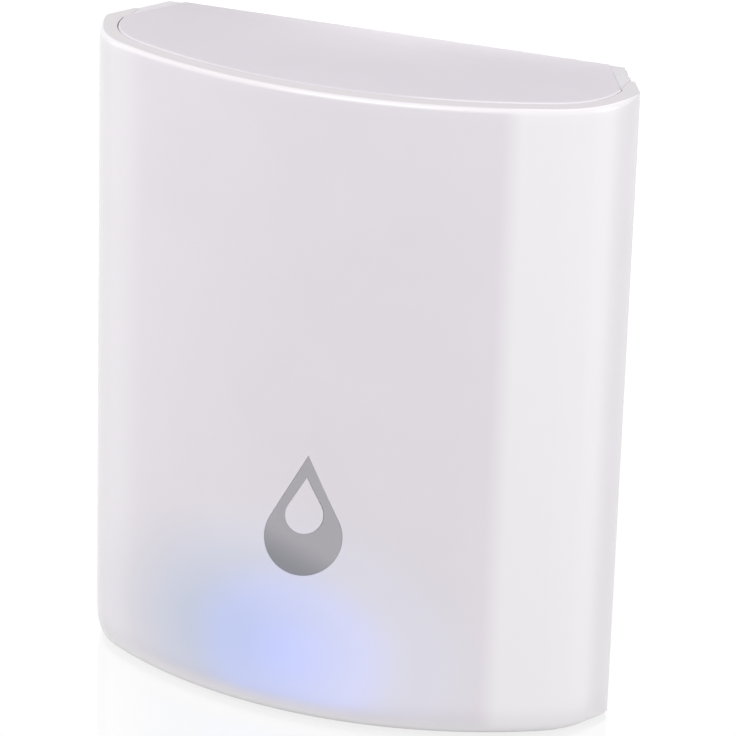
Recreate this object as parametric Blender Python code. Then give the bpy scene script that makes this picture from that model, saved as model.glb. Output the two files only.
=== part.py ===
"""Water leak sensor: a small battery-run box that stands on the floor and senses water under its base.

Metres, +Z up. The front faces -Y, and the origin is under the middle of the box at floor level.
"""

import math

import bmesh
import bpy

# Case, outside. Its width, depth and height follow from what it holds, further down
FLOOR_GAP = 0.0005
FRONT_DRAFT = 0.0010
CORNER_RUN = 0.00385
WIDEST_FROM_BACK = 0.0075
SIDE_RADIUS = 0.0099
FOOT_ROUND_HEIGHT = 0.0033
FOOT_ROUND_INSET = 0.00075
RIM_RADIUS = 0.0006

# Walls and the clearance between pieces that meet
WALL = 0.0019
BACK_WALL = 0.0020
GAP = 0.0003
SEAM_FROM_BACK = 0.0042
LIP_CLEARANCE = 0.0004
LIP_THICKNESS = 0.0013
LIP_ARC_SHARE = 0.4

# Room left inside the case: beside the cell bay and the lip, over the door's ear, under the bay
SIDE_ROOM = 0.00515
LIP_ROOM = 0.00085
EAR_ROOM = 0.0005
BAY_ROOM = 0.0008

# Cap, base plate and the seals above and below them
GROOVE_DEPTH = 0.0007
FLANGE_THICKNESS = 0.0012
SEAL_THICKNESS = 0.0007
SEAL_WIDTH = 0.0014
CAP_DEPTH = 0.0019
CAP_PROUD = 0.00015
CAP_CHAMFER = 0.00035
CAP_LUG = (0.0050, 0.0015, 0.0040)
CAP_LUG_FROM_SCREW = 0.0070
BASE_STEP = 0.0011
BASE_TONGUE_WIDTH = 0.0300
BASE_TONGUE_DEPTH = 0.0009

# Cells and their bay
CELL_DIAMETER = 0.0105
CELL_LENGTH = 0.0445
CELL_NUB_RADIUS = 0.0019
CELL_NUB_HEIGHT = 0.0010
CELL_GAP = 0.0004
BAY_FRONT_WALL = 0.0012
BAY_SIDE_WALL = 0.0022
CONTACT_THICKNESS = 0.0004
CONTACT_SIDE = 0.0090
CONTACT_TAB_WIDTH = 0.0020
SPRING_LENGTH = 0.0036
SPRING_WIRE_RADIUS = 0.00025
SPRING_RADIUS_WIDE = 0.0034
SPRING_RADIUS_NARROW = 0.0018
SPRING_TURNS = 3

# Battery door
DOOR_THICKNESS = 0.0016
DOOR_LEDGE = 0.0014
DOOR_EAR_RADIUS = 0.0034
DOOR_EAR_THICKNESS = 0.0030
DOOR_EAR_RISE = 0.0030
DOOR_HOOK_X = 0.0075
DOOR_HOOK_WIDTH = 0.0044
DOOR_HOOK_DROP = 0.0012
DOOR_HOOK_THICKNESS = 0.0015
EAR_BOSS_WALL = 0.0010
EAR_BOSS_DEPTH = 0.0085

# Screws
CASE_SCREW_ABOVE_BAY_FLOOR = 0.0020
CASE_SCREW_UNDER_CAP = 0.0055
CASE_SCREW_HEAD_RADIUS = 0.0023
CASE_SCREW_HEAD_HEIGHT = 0.0018
CASE_SCREW_RADIUS = 0.00115
CASE_SCREW_LENGTH = 0.0085
CASE_SCREW_SUNK = 0.0015
CASE_BOSS_RADIUS = 0.0025
CASE_BOSS_FROM_BACK = 0.0065
BOARD_SCREW_FROM_BAY = 0.0012
BOARD_SCREW_FROM_FOOT = 0.0100
BOARD_SCREW_FROM_TOP = 0.0125
BOARD_SCREW_HEAD_RADIUS = 0.0018
BOARD_SCREW_HEAD_HEIGHT = 0.0012
BOARD_SCREW_RADIUS = 0.00085
BOARD_SCREW_LENGTH = 0.0060
BOARD_BOSS_RADIUS = 0.0022
SOCKET_SHARE = 0.48
SOCKET_DEPTH_SHARE = 0.55

# Circuit board and what it carries, placed by X and the distance below the board's top edge
BOARD_SIDE_ROOM = 0.0015
BOARD_FOOT_ROOM = 0.0007
BOARD_TOP_ROOM = 0.0005
BOARD_THICKNESS = 0.0010
BOARD_CORNER = 0.0010
BOARD_STANDOFF = 0.0002
LED_SIZE = (0.0035, 0.0012, 0.0028)
RADIO_SIZE = (0.0140, 0.0018, 0.0180)
RADIO_AT = (-0.0055, 0.0240)
RADIO_BOARD_THICKNESS = 0.0006
RADIO_CAN_INSET = 0.0012
CHIP_SIZE = (0.0070, 0.0009, 0.0070)
CHIP_AT = (0.0095, 0.0265)
COIL_SIZE = (0.0040, 0.0018, 0.0040)
COIL_AT = (0.0095, 0.0355)
CAPACITOR_SIZE = (0.0060, 0.0019, 0.0032)
CAPACITOR_AT = (-0.0085, 0.0365)
ANTENNA_SIZE = (0.0150, 0.0050)
ANTENNA_AT = (0.0090, 0.0030)
ANTENNA_STRIP = 0.0012
ANTENNA_THICKNESS = 0.0004
SOUNDER_RADIUS = 0.0045
SOUNDER_THICKNESS = 0.0027
SOUNDER_HOLE_RADIUS = 0.0010
SOUNDER_HOLE_DEPTH = 0.0012
SOUNDER_AT = (-0.0060, 0.0065)
SOUND_HOLE_RADIUS = 0.0008
SOUND_HOLE_COUNT = 4
SOUND_HOLE_PITCH = 0.0025
SOUND_HOLE_FROM_EAR = 0.0033

# Water probes and their small board
PROBE_X = 0.0090
PROBE_FROM_BOARD_EDGE = 0.0067
PROBE_HEAD_RADIUS = 0.0025
PROBE_HEAD_THICKNESS = 0.0008
PROBE_HEAD_Z = 0.0002
PROBE_SHANK_RADIUS = 0.0010
PROBE_SHANK_TOP = 0.0007
PROBE_BOARD_WIDTH = 0.0300
PROBE_BOARD_THICKNESS = 0.0010
PROBE_BOARD_DEPTH = 0.0102
PROBE_BOARD_REACH = 0.0013
PROBE_BOARD_LIFT = 0.0005
HEADER_SIZE = (0.0070, 0.0020, 0.0025)
HEADER_X = 0.0120

# Rubber feet, placed by distances from the side and from the back or the front of the case
FOOT_RADIUS = 0.0030
FOOT_THICKNESS = 0.0011
FOOT_EDGE = 0.0002
BACK_FOOT_FROM = (0.0105, 0.0062)
FRONT_FOOT_FROM = (0.0150, 0.0091)

# Light guide behind the front wall
GUIDE_WIDTH = 0.0160
GUIDE_HEIGHT = 0.0080
GUIDE_DEPTH = 0.0032
GUIDE_ROOM = 0.0008

# Silver drop on the front: a round drop with a smaller drop cut out of it. It leans a little: its
# shares of slant move a point sideways by its height, and up by its distance from the middle
DROP_RADIUS = 0.00445
DROP_Z = 0.0216
DROP_POINT = 0.0094
HOLE_RADIUS = 0.00220
HOLE_RISE = 0.0026
HOLE_POINT = 0.0044
DROP_THICKNESS = 0.0004
DROP_SLANT = (0.045, 0.10)

# How finely round shapes are divided
SIDE_STEPS = 6
FRONT_STEPS = 7
ROUND_STEPS = 3
RIM_STEPS = 2
DROP_STEPS = 34
WIRE_STEPS = 11
BIG_ROUND = 36
SMALL_ROUND = 20
TINY_ROUND = 12
HOLE_TURN = 0.25
OVERLAP = 0.0005
BEYOND = 0.0010

# Sizes that follow, across the case
CELL_RADIUS = CELL_DIAMETER / 2
CELL_X = CELL_RADIUS + CELL_GAP / 2
BAY_WIDTH = 2 * CELL_DIAMETER + 3 * CELL_GAP
BAY_HALF = BAY_WIDTH / 2 + BAY_SIDE_WALL
TUBE_RADIUS = CASE_SCREW_HEAD_RADIUS + GAP + WALL / 2
CASE_SCREW_X = BAY_HALF + SIDE_ROOM + TUBE_RADIUS
WIDTH = 2 * (CASE_SCREW_X + TUBE_RADIUS + LIP_ROOM + LIP_THICKNESS + LIP_CLEARANCE + WALL)
FIT_INSET = WALL + GAP
FLANGE_INSET = WALL - GROOVE_DEPTH + GAP
BOARD_SCREW_X = BAY_HALF + BOARD_SCREW_FROM_BAY
BOARD_WIDTH = 2 * (CASE_SCREW_X - CASE_BOSS_RADIUS - BOARD_SIDE_ROOM)
EAR_BOSS_RADIUS = DOOR_EAR_RADIUS + GAP + EAR_BOSS_WALL
SOUND_HOLE_FIRST_X = EAR_BOSS_RADIUS + SOUND_HOLE_FROM_EAR
CAP_LUG_X = CASE_SCREW_X - CAP_LUG_FROM_SCREW

# Sizes that follow, from back to front
DOOR_SEAT = DOOR_THICKNESS + GAP
CELL_FROM_BACK = DOOR_SEAT + CELL_GAP + CELL_RADIUS
BAY_DEPTH = CELL_FROM_BACK + CELL_RADIUS + CELL_GAP
BAY_FRONT = BAY_DEPTH + BAY_FRONT_WALL
BOARD_BACK = BAY_FRONT + GAP + BOARD_STANDOFF
BOARD_FRONT = BOARD_BACK + BOARD_THICKNESS
MOUNT_FROM_BACK = BOARD_FRONT + GAP
GUIDE_FROM_BACK = MOUNT_FROM_BACK + LED_SIZE[1] + GAP
DEPTH_FOOT = GUIDE_FROM_BACK + GUIDE_DEPTH + FIT_INSET
DEPTH_TOP = DEPTH_FOOT - FRONT_DRAFT
BACK_Y = DEPTH_FOOT / 2
WIDEST_Y = BACK_Y - WIDEST_FROM_BACK
PROBE_BOARD_FRONT = BOARD_FRONT + PROBE_BOARD_REACH
PROBE_BOARD_BACK = PROBE_BOARD_FRONT - PROBE_BOARD_DEPTH
PROBE_FROM_BACK = PROBE_BOARD_FRONT - PROBE_FROM_BOARD_EDGE
BACK_FOOT = (WIDTH / 2 - BACK_FOOT_FROM[0], BACK_FOOT_FROM[1])
FRONT_FOOT = (WIDTH / 2 - FRONT_FOOT_FROM[0], DEPTH_FOOT - FRONT_FOOT_FROM[1])
FEET = (BACK_FOOT, FRONT_FOOT)

# Sizes that follow, from the floor up
CASE_FOOT_Z = FLOOR_GAP
ROUND_TOP_Z = CASE_FOOT_Z + FOOT_ROUND_HEIGHT
BASE_FLANGE_LOW_Z = CASE_FOOT_Z + BASE_STEP
BASE_TOP_Z = BASE_FLANGE_LOW_Z + FLANGE_THICKNESS
BASE_GROOVE_LOW_Z = BASE_FLANGE_LOW_Z - GAP
BASE_GROOVE_HIGH_Z = BASE_TOP_Z + SEAL_THICKNESS + 2 * GAP
PROBE_BOARD_Z = BASE_TOP_Z + PROBE_BOARD_LIFT
PROBE_TOP_Z = PROBE_BOARD_Z + PROBE_BOARD_THICKNESS + PROBE_SHANK_TOP
BAY_FLOOR_Z = PROBE_TOP_Z + BAY_ROOM + BAY_SIDE_WALL
BAY_HEIGHT = CELL_LENGTH + SPRING_LENGTH + 2 * CONTACT_THICKNESS + 5 * GAP
BAY_TOP_Z = BAY_FLOOR_Z + BAY_HEIGHT
LOWER_PLATE_Z = BAY_FLOOR_Z + GAP
UPPER_PLATE_Z = BAY_TOP_Z - GAP - CONTACT_THICKNESS
EAR_Z = BAY_TOP_Z + DOOR_LEDGE + DOOR_EAR_RISE
CAP_UNDER_Z = EAR_Z + EAR_BOSS_RADIUS + EAR_ROOM
CAP_FLANGE_TOP_Z = CAP_UNDER_Z + FLANGE_THICKNESS
RIM_Z = CAP_FLANGE_TOP_Z + CAP_DEPTH
CAP_TOP_Z = RIM_Z + CAP_PROUD
CAP_GROOVE_HIGH_Z = CAP_FLANGE_TOP_Z + GAP
CAP_GROOVE_LOW_Z = CAP_UNDER_Z - SEAL_THICKNESS - 2 * GAP
CASE_SCREW_LOW_Z = BAY_FLOOR_Z + CASE_SCREW_ABOVE_BAY_FLOOR
CASE_SCREW_HIGH_Z = CAP_UNDER_Z - CASE_SCREW_UNDER_CAP
BOARD_LOW_Z = PROBE_BOARD_Z + PROBE_BOARD_THICKNESS + BOARD_FOOT_ROOM
BOARD_HIGH_Z = CAP_UNDER_Z - GAP - SEAL_THICKNESS - BOARD_TOP_ROOM
BOARD_SCREW_LOW_Z = BOARD_LOW_Z + BOARD_SCREW_FROM_FOOT
BOARD_SCREW_HIGH_Z = BOARD_HIGH_Z - BOARD_SCREW_FROM_TOP
GUIDE_LOW_Z = BASE_TOP_Z + GAP + SEAL_THICKNESS + GUIDE_ROOM
LED_Z = GUIDE_LOW_Z + GUIDE_HEIGHT / 2


def clear_scene():
    for old in list(bpy.data.objects):
        bpy.data.objects.remove(old, do_unlink=True)


def material(name, colour, roughness, metallic=0.0):
    made = bpy.data.materials.new(name)
    made.use_nodes = True
    shader = made.node_tree.nodes["Principled BSDF"]
    shader.inputs["Base Color"].default_value = (*colour, 1.0)
    shader.inputs["Roughness"].default_value = roughness
    shader.inputs["Metallic"].default_value = metallic
    return made


def place(name, mesh, finish):
    """Puts a finished bmesh into the scene as one object."""
    bmesh.ops.remove_doubles(mesh, verts=mesh.verts, dist=1e-7)
    bmesh.ops.recalc_face_normals(mesh, faces=mesh.faces)
    data = bpy.data.meshes.new(name)
    mesh.to_mesh(data)
    mesh.free()
    data.shade_smooth()
    data.set_sharp_from_angle(angle=math.radians(30))
    obj = bpy.data.objects.new(name, data)
    bpy.context.scene.collection.objects.link(obj)
    if finish is not None:
        data.materials.append(finish)
    return obj


def helper(name, mesh):
    """A shape that only joins or cuts another one."""
    obj = place(name, mesh, None)
    obj.hide_render = True
    obj.display_type = "WIRE"
    return obj


def combine(target, other, operation):
    change = target.modifiers.new(other.name, "BOOLEAN")
    change.operation = operation
    change.solver = "EXACT"
    change.object = other


def from_back(distance):
    """The Y of a point this far in front of the back plane."""
    return BACK_Y - distance


# Outlines of the case


def depth_at(z):
    """Depth of the case at a height: the front wall leans back a little from foot to rim."""
    share = (RIM_Z - z) / (RIM_Z - ROUND_TOP_Z)
    return DEPTH_TOP + (DEPTH_FOOT - DEPTH_TOP) * min(share, 1.0)


def front_arc(z):
    """Radius and centre of the wide front arc, and the angle at which it meets the side arcs."""
    reach = depth_at(z) - WIDEST_FROM_BACK
    side_x = WIDTH / 2 - SIDE_RADIUS
    radius = (side_x**2 + reach**2 - SIDE_RADIUS**2) / (2 * (reach - SIDE_RADIUS))
    return radius, WIDEST_Y - reach + radius, math.atan2(reach - radius, side_x)


def front_face_y(x, z, inset=0.0):
    """Y of the front wall's outside at a point, or of a surface this far inside it."""
    radius, centre_y, meet = front_arc(z)
    side_x = WIDTH / 2 - SIDE_RADIUS
    if abs(x) > side_x + (SIDE_RADIUS - inset) * math.cos(meet):
        return WIDEST_Y - math.sqrt((SIDE_RADIUS - inset) ** 2 - (abs(x) - side_x) ** 2)
    return centre_y - math.sqrt((radius - inset) ** 2 - x**2)


def ease(share):
    share = min(max(share, 0.0), 1.0)
    return share * share * (3 - 2 * share)


def right_path(z, inset, rounding=0.0):
    """Points from the widest line round the right side to just short of the middle of the front.

    The rounding of an edge is a further inset, which fades out towards the widest line."""
    radius, centre_y, meet = front_arc(z)
    side_x = WIDTH / 2 - SIDE_RADIUS
    points = []
    for i in range(SIDE_STEPS + 1):
        share = i / SIDE_STEPS
        reach = SIDE_RADIUS - inset - rounding * ease(share / LIP_ARC_SHARE)
        angle = meet * share
        points.append((side_x + reach * math.cos(angle), WIDEST_Y + reach * math.sin(angle)))
    for i in range(1, FRONT_STEPS + 1):
        angle = meet + (-math.pi / 2 - meet) * i / (FRONT_STEPS + 0.5)
        reach = radius - inset - rounding
        points.append((reach * math.cos(angle), centre_y + reach * math.sin(angle)))
    return points


def mirrored(points):
    """The same points on the left, in the opposite order."""
    return [(-x, y) for x, y in reversed(points)]


def front_path(z, inset, rounding=0.0):
    """Points from the widest line on the right, round the front, to the one on the left."""
    right = right_path(z, inset, rounding)
    return right + mirrored(right)


def diagonal_x(y, inset):
    """X of the slanted rear corner face on the right, moved inwards by the inset."""
    length = math.hypot(CORNER_RUN, WIDEST_FROM_BACK)
    return WIDTH / 2 - (CORNER_RUN * (y - WIDEST_Y) + inset * length) / WIDEST_FROM_BACK


def diagonal_y(x, inset):
    """Y at which that face, moved inwards, is at this X."""
    length = math.hypot(CORNER_RUN, WIDEST_FROM_BACK)
    return WIDEST_Y + ((WIDTH / 2 - x) * WIDEST_FROM_BACK - inset * length) / CORNER_RUN


def foot_rounding(z):
    """How far the outside has curved in at a height near the foot."""
    share = min(max((ROUND_TOP_Z - z) / FOOT_ROUND_HEIGHT, 0.0), 1.0)
    return FOOT_ROUND_INSET * (1 - math.sqrt(1 - share**2))


def rim_rounding(z):
    share = min(max((z - RIM_Z + RIM_RADIUS) / RIM_RADIUS, 0.0), 1.0)
    return RIM_RADIUS * (1 - math.sqrt(1 - share**2))


# Shapes added to a bmesh


def add_loft(mesh, rings):
    """A closed solid through rings of equal count."""
    loops = [[mesh.verts.new(point) for point in ring] for ring in rings]
    count = len(loops[0])
    for low, high in zip(loops, loops[1:]):
        for i in range(count):
            j = (i + 1) % count
            mesh.faces.new((low[i], low[j], high[j], high[i]))
    mesh.faces.new(list(reversed(loops[0])))
    mesh.faces.new(loops[-1])


def add_prism(mesh, outline, low_z, high_z):
    add_loft(mesh, [[(x, y, z) for x, y in outline] for z in (low_z, high_z)])


def add_slab(mesh, outline, near, far):
    """A solid with its outline in X and Z, between two distances from the back plane."""
    add_loft(mesh, [[(x, from_back(d), z) for x, z in outline] for d in (near, far)])


def add_box(mesh, x, distance, z):
    """A box between two values on each axis, Y given as distances from the back plane."""
    outline = [(x[0], z[0]), (x[1], z[0]), (x[1], z[1]), (x[0], z[1])]
    add_slab(mesh, outline, *distance)


def add_turned(mesh, profile, place_point, steps, turn=0.0):
    """A turned solid. The profile holds (radius, height), and a radius may depend on the angle.

    The turn, in steps, keeps the corners of a hole off those of the rod that it goes through."""
    rings = []
    for radius, height in profile:
        if radius == 0:
            rings.append([mesh.verts.new(place_point(0.0, 0.0, height))])
            continue
        ring = []
        for i in range(steps):
            angle = 2 * math.pi * (i + turn) / steps
            reach = radius(angle) if callable(radius) else radius
            point = place_point(reach * math.cos(angle), reach * math.sin(angle), height)
            ring.append(mesh.verts.new(point))
        rings.append(ring)
    for low, high in zip(rings, rings[1:]):
        for i in range(steps):
            j = (i + 1) % steps
            corners = [low[i % len(low)], low[j % len(low)], high[j % len(high)], high[i % len(high)]]
            mesh.faces.new(list(dict.fromkeys(corners)))


def upright(x, y, z=0.0):
    """Places a turned solid with its axis up."""
    return lambda a, b, height: (x + a, y + b, z + height)


def inward(x, z):
    """Places a turned solid with its axis towards the front, heights being distances from the back."""
    return lambda a, b, height: (x + a, from_back(height), z + b)


def add_rod(mesh, at, radius, near, far, steps=SMALL_ROUND, turn=0.0):
    """A plain rod along Y between two distances from the back plane."""
    add_turned(mesh, [(0, near), (radius, near), (radius, far), (0, far)], inward(*at), steps, turn)


def add_hole(mesh, at, radius, near, far, steps=SMALL_ROUND):
    add_rod(mesh, at, radius, near, far, steps, HOLE_TURN)


def rounded_rectangle(width, height, corner, at=(0.0, 0.0), steps=4):
    points = []
    for quarter in range(4):
        sx = (1, -1, -1, 1)[quarter]
        sy = (1, 1, -1, -1)[quarter]
        for i in range(steps + 1):
            angle = math.pi / 2 * (quarter + i / steps)
            x = at[0] + sx * (width / 2 - corner) + corner * math.cos(angle)
            y = at[1] + sy * (height / 2 - corner) + corner * math.sin(angle)
            points.append((x, y))
    return points


# Case shells


def shell_levels():
    """Height, edge rounding and inner inset of each level, with two levels at every groove edge."""
    steps = (BASE_GROOVE_LOW_Z, BASE_GROOVE_HIGH_Z, CAP_GROOVE_LOW_Z, CAP_GROOVE_HIGH_Z)
    groove = WALL - GROOVE_DEPTH
    insets = (WALL, groove, WALL, groove, WALL)
    levels = []
    for i, z in enumerate(steps):
        levels += [(z, insets[i]), (z, insets[i + 1])]
    heights = []
    for i in range(ROUND_STEPS + 1):
        heights.append(ROUND_TOP_Z - FOOT_ROUND_HEIGHT * math.sin(math.pi / 2 * i / ROUND_STEPS))
    for i in range(RIM_STEPS + 1):
        heights.append(RIM_Z - RIM_RADIUS * (1 - math.sin(math.pi / 2 * i / RIM_STEPS)))
    for z in heights:
        levels.append((z, insets[sum(z > step for step in steps)]))
    levels.sort(key=lambda level: level[0])
    return [(z, foot_rounding(z) + rim_rounding(z), inset) for z, inset in levels]


def shell_ring(z, rounding, inset):
    end_y = from_back(SEAM_FROM_BACK + GAP)
    outer = [(diagonal_x(end_y, 0.0), end_y)] + front_path(z, 0.0, rounding)
    outer.append((-diagonal_x(end_y, 0.0), end_y))
    inner_x = WIDTH / 2 - WALL
    edge = [(inner_x, end_y), (inner_x, WIDEST_Y + 2 * GROOVE_DEPTH)]
    inner = edge + front_path(z, inset) + mirrored(edge)
    return [(x, y, z) for x, y in list(reversed(outer)) + inner]


def drop_outline(radius, point, z, spread=0.0):
    """A drop: a circle with two straight sides that touch it and meet above it."""
    lean = math.asin(radius / point)
    reach = radius + spread
    tip = point + spread / math.sin(lean)
    points = []
    arc = 2 * (math.pi / 2 + lean)
    sides = DROP_STEPS // 5
    for i in range(sides):
        share = i / sides
        x = reach * math.cos(lean) * share
        points.append((x, z + tip + (reach * math.sin(lean) - tip) * share))
    turns = DROP_STEPS - 2 * sides
    for i in range(turns + 1):
        angle = lean - arc * i / turns
        points.append((reach * math.cos(angle), z + reach * math.sin(angle)))
    points += [(-x, height) for x, height in reversed(points[1:sides])]
    sideways, upwards = DROP_SLANT
    return [(x + sideways * (height - DROP_Z), height + upwards * x) for x, height in points]


def add_drop(mesh, spread, front, back):
    """The drop between two depths behind the front wall's surface, with its cut-out."""
    loops = []
    for outline in (drop_outline(DROP_RADIUS, DROP_POINT, DROP_Z, spread),
                    drop_outline(HOLE_RADIUS, HOLE_POINT, DROP_Z + HOLE_RISE, -spread)):
        for depth in (front, back):
            loops.append([mesh.verts.new((x, front_face_y(x, z) + depth, z)) for x, z in outline])
    outer_front, outer_back, hole_front, hole_back = loops
    for first, second in ((outer_front, hole_front), (hole_front, hole_back),
                          (hole_back, outer_back), (outer_back, outer_front)):
        for i in range(len(first)):
            j = (i + 1) % len(first)
            mesh.faces.new((first[i], first[j], second[j], second[i]))


def case_screw_spots():
    """The four case screws, by X and Z."""
    return [(side * CASE_SCREW_X, z) for z in (CASE_SCREW_LOW_Z, CASE_SCREW_HIGH_Z) for side in (-1, 1)]


def board_screw_spots():
    return [(side * BOARD_SCREW_X, z) for z in (BOARD_SCREW_LOW_Z, BOARD_SCREW_HIGH_Z) for side in (-1, 1)]


def add_shell_post(mesh, x, z):
    """A screw post that reaches from inside the curved front wall towards the back."""
    rings = [[], []]
    for i in range(SMALL_ROUND):
        angle = 2 * math.pi * i / SMALL_ROUND
        at_x = x + CASE_BOSS_RADIUS * math.cos(angle)
        at_z = z + CASE_BOSS_RADIUS * math.sin(angle)
        rings[0].append((at_x, from_back(CASE_BOSS_FROM_BACK), at_z))
        rings[1].append((at_x, front_face_y(at_x, at_z, WALL / 2), at_z))
    add_loft(mesh, rings)


def make_front_shell(finish):
    mesh = bmesh.new()
    add_loft(mesh, [shell_ring(*level) for level in shell_levels()])
    shell = place("front_shell", mesh, finish)
    posts = bmesh.new()
    holes = bmesh.new()
    for spot in case_screw_spots():
        add_shell_post(posts, *spot)
        end = CASE_SCREW_SUNK + CASE_SCREW_HEAD_HEIGHT + CASE_SCREW_LENGTH + BEYOND
        add_hole(holes, spot, CASE_SCREW_RADIUS + GAP, CASE_BOSS_FROM_BACK - BEYOND, end)
    add_drop(holes, GAP, -BEYOND, DROP_THICKNESS + GAP)
    combine(shell, helper("shell_posts", posts), "UNION")
    combine(shell, helper("shell_holes", holes), "DIFFERENCE")


def cover_ring(z):
    """One level of the rear cover: back wall, slanted corners and their thin noses."""
    edge = min(z - CASE_FOOT_Z, RIM_Z - z, RIM_RADIUS / 2)
    inset = RIM_RADIUS / 2 - edge
    seam_y = from_back(SEAM_FROM_BACK)
    nose_x = WIDTH / 2 - FIT_INSET
    inner_y = from_back(BACK_WALL)
    right = [
        (nose_x, diagonal_y(nose_x, WALL)),
        (nose_x, seam_y),
        (diagonal_x(seam_y, inset), seam_y),
        (diagonal_x(BACK_Y - inset, inset), BACK_Y - inset),
    ]
    corner = (diagonal_x(inner_y, WALL), inner_y)
    return [(x, y, z) for x, y in right + mirrored(right) + [(-corner[0], corner[1]), corner]]


def lip_outline(side):
    """The inner lip of the rear cover, which the front shell slides over."""
    outer = WIDTH / 2 - WALL - LIP_CLEARANCE
    inner = outer - LIP_THICKNESS
    _, _, meet = front_arc(RIM_Z)
    side_x = WIDTH / 2 - SIDE_RADIUS
    end_y = from_back(SEAM_FROM_BACK - OVERLAP)
    points = [(outer, end_y)]
    steps = SIDE_STEPS // 2
    for x in (outer, inner):
        arc = []
        for i in range(steps + 1):
            angle = meet * LIP_ARC_SHARE * i / steps
            reach = x - side_x
            arc.append((side_x + reach * math.cos(angle), WIDEST_Y + reach * math.sin(angle)))
        points += arc if x == outer else list(reversed(arc))
    points.append((inner, end_y))
    return [(side * x, y) for x, y in points]


def door_outline(spread):
    """The battery door by X and Z: a rounded rectangle with a round ear on top."""
    half = BAY_WIDTH / 2 + DOOR_LEDGE + spread
    low = BAY_FLOOR_Z - DOOR_LEDGE - spread
    high = BAY_TOP_Z + DOOR_LEDGE + spread
    reach = DOOR_EAR_RADIUS + spread
    start = math.asin((high - EAR_Z) / reach)
    points = [(-half, low), (half, low), (half, high)]
    for i in range(SMALL_ROUND + 1):
        angle = start + (math.pi - 2 * start) * i / SMALL_ROUND
        points.append((reach * math.cos(angle), EAR_Z + reach * math.sin(angle)))
    points.append((-half, high))
    return points


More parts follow.
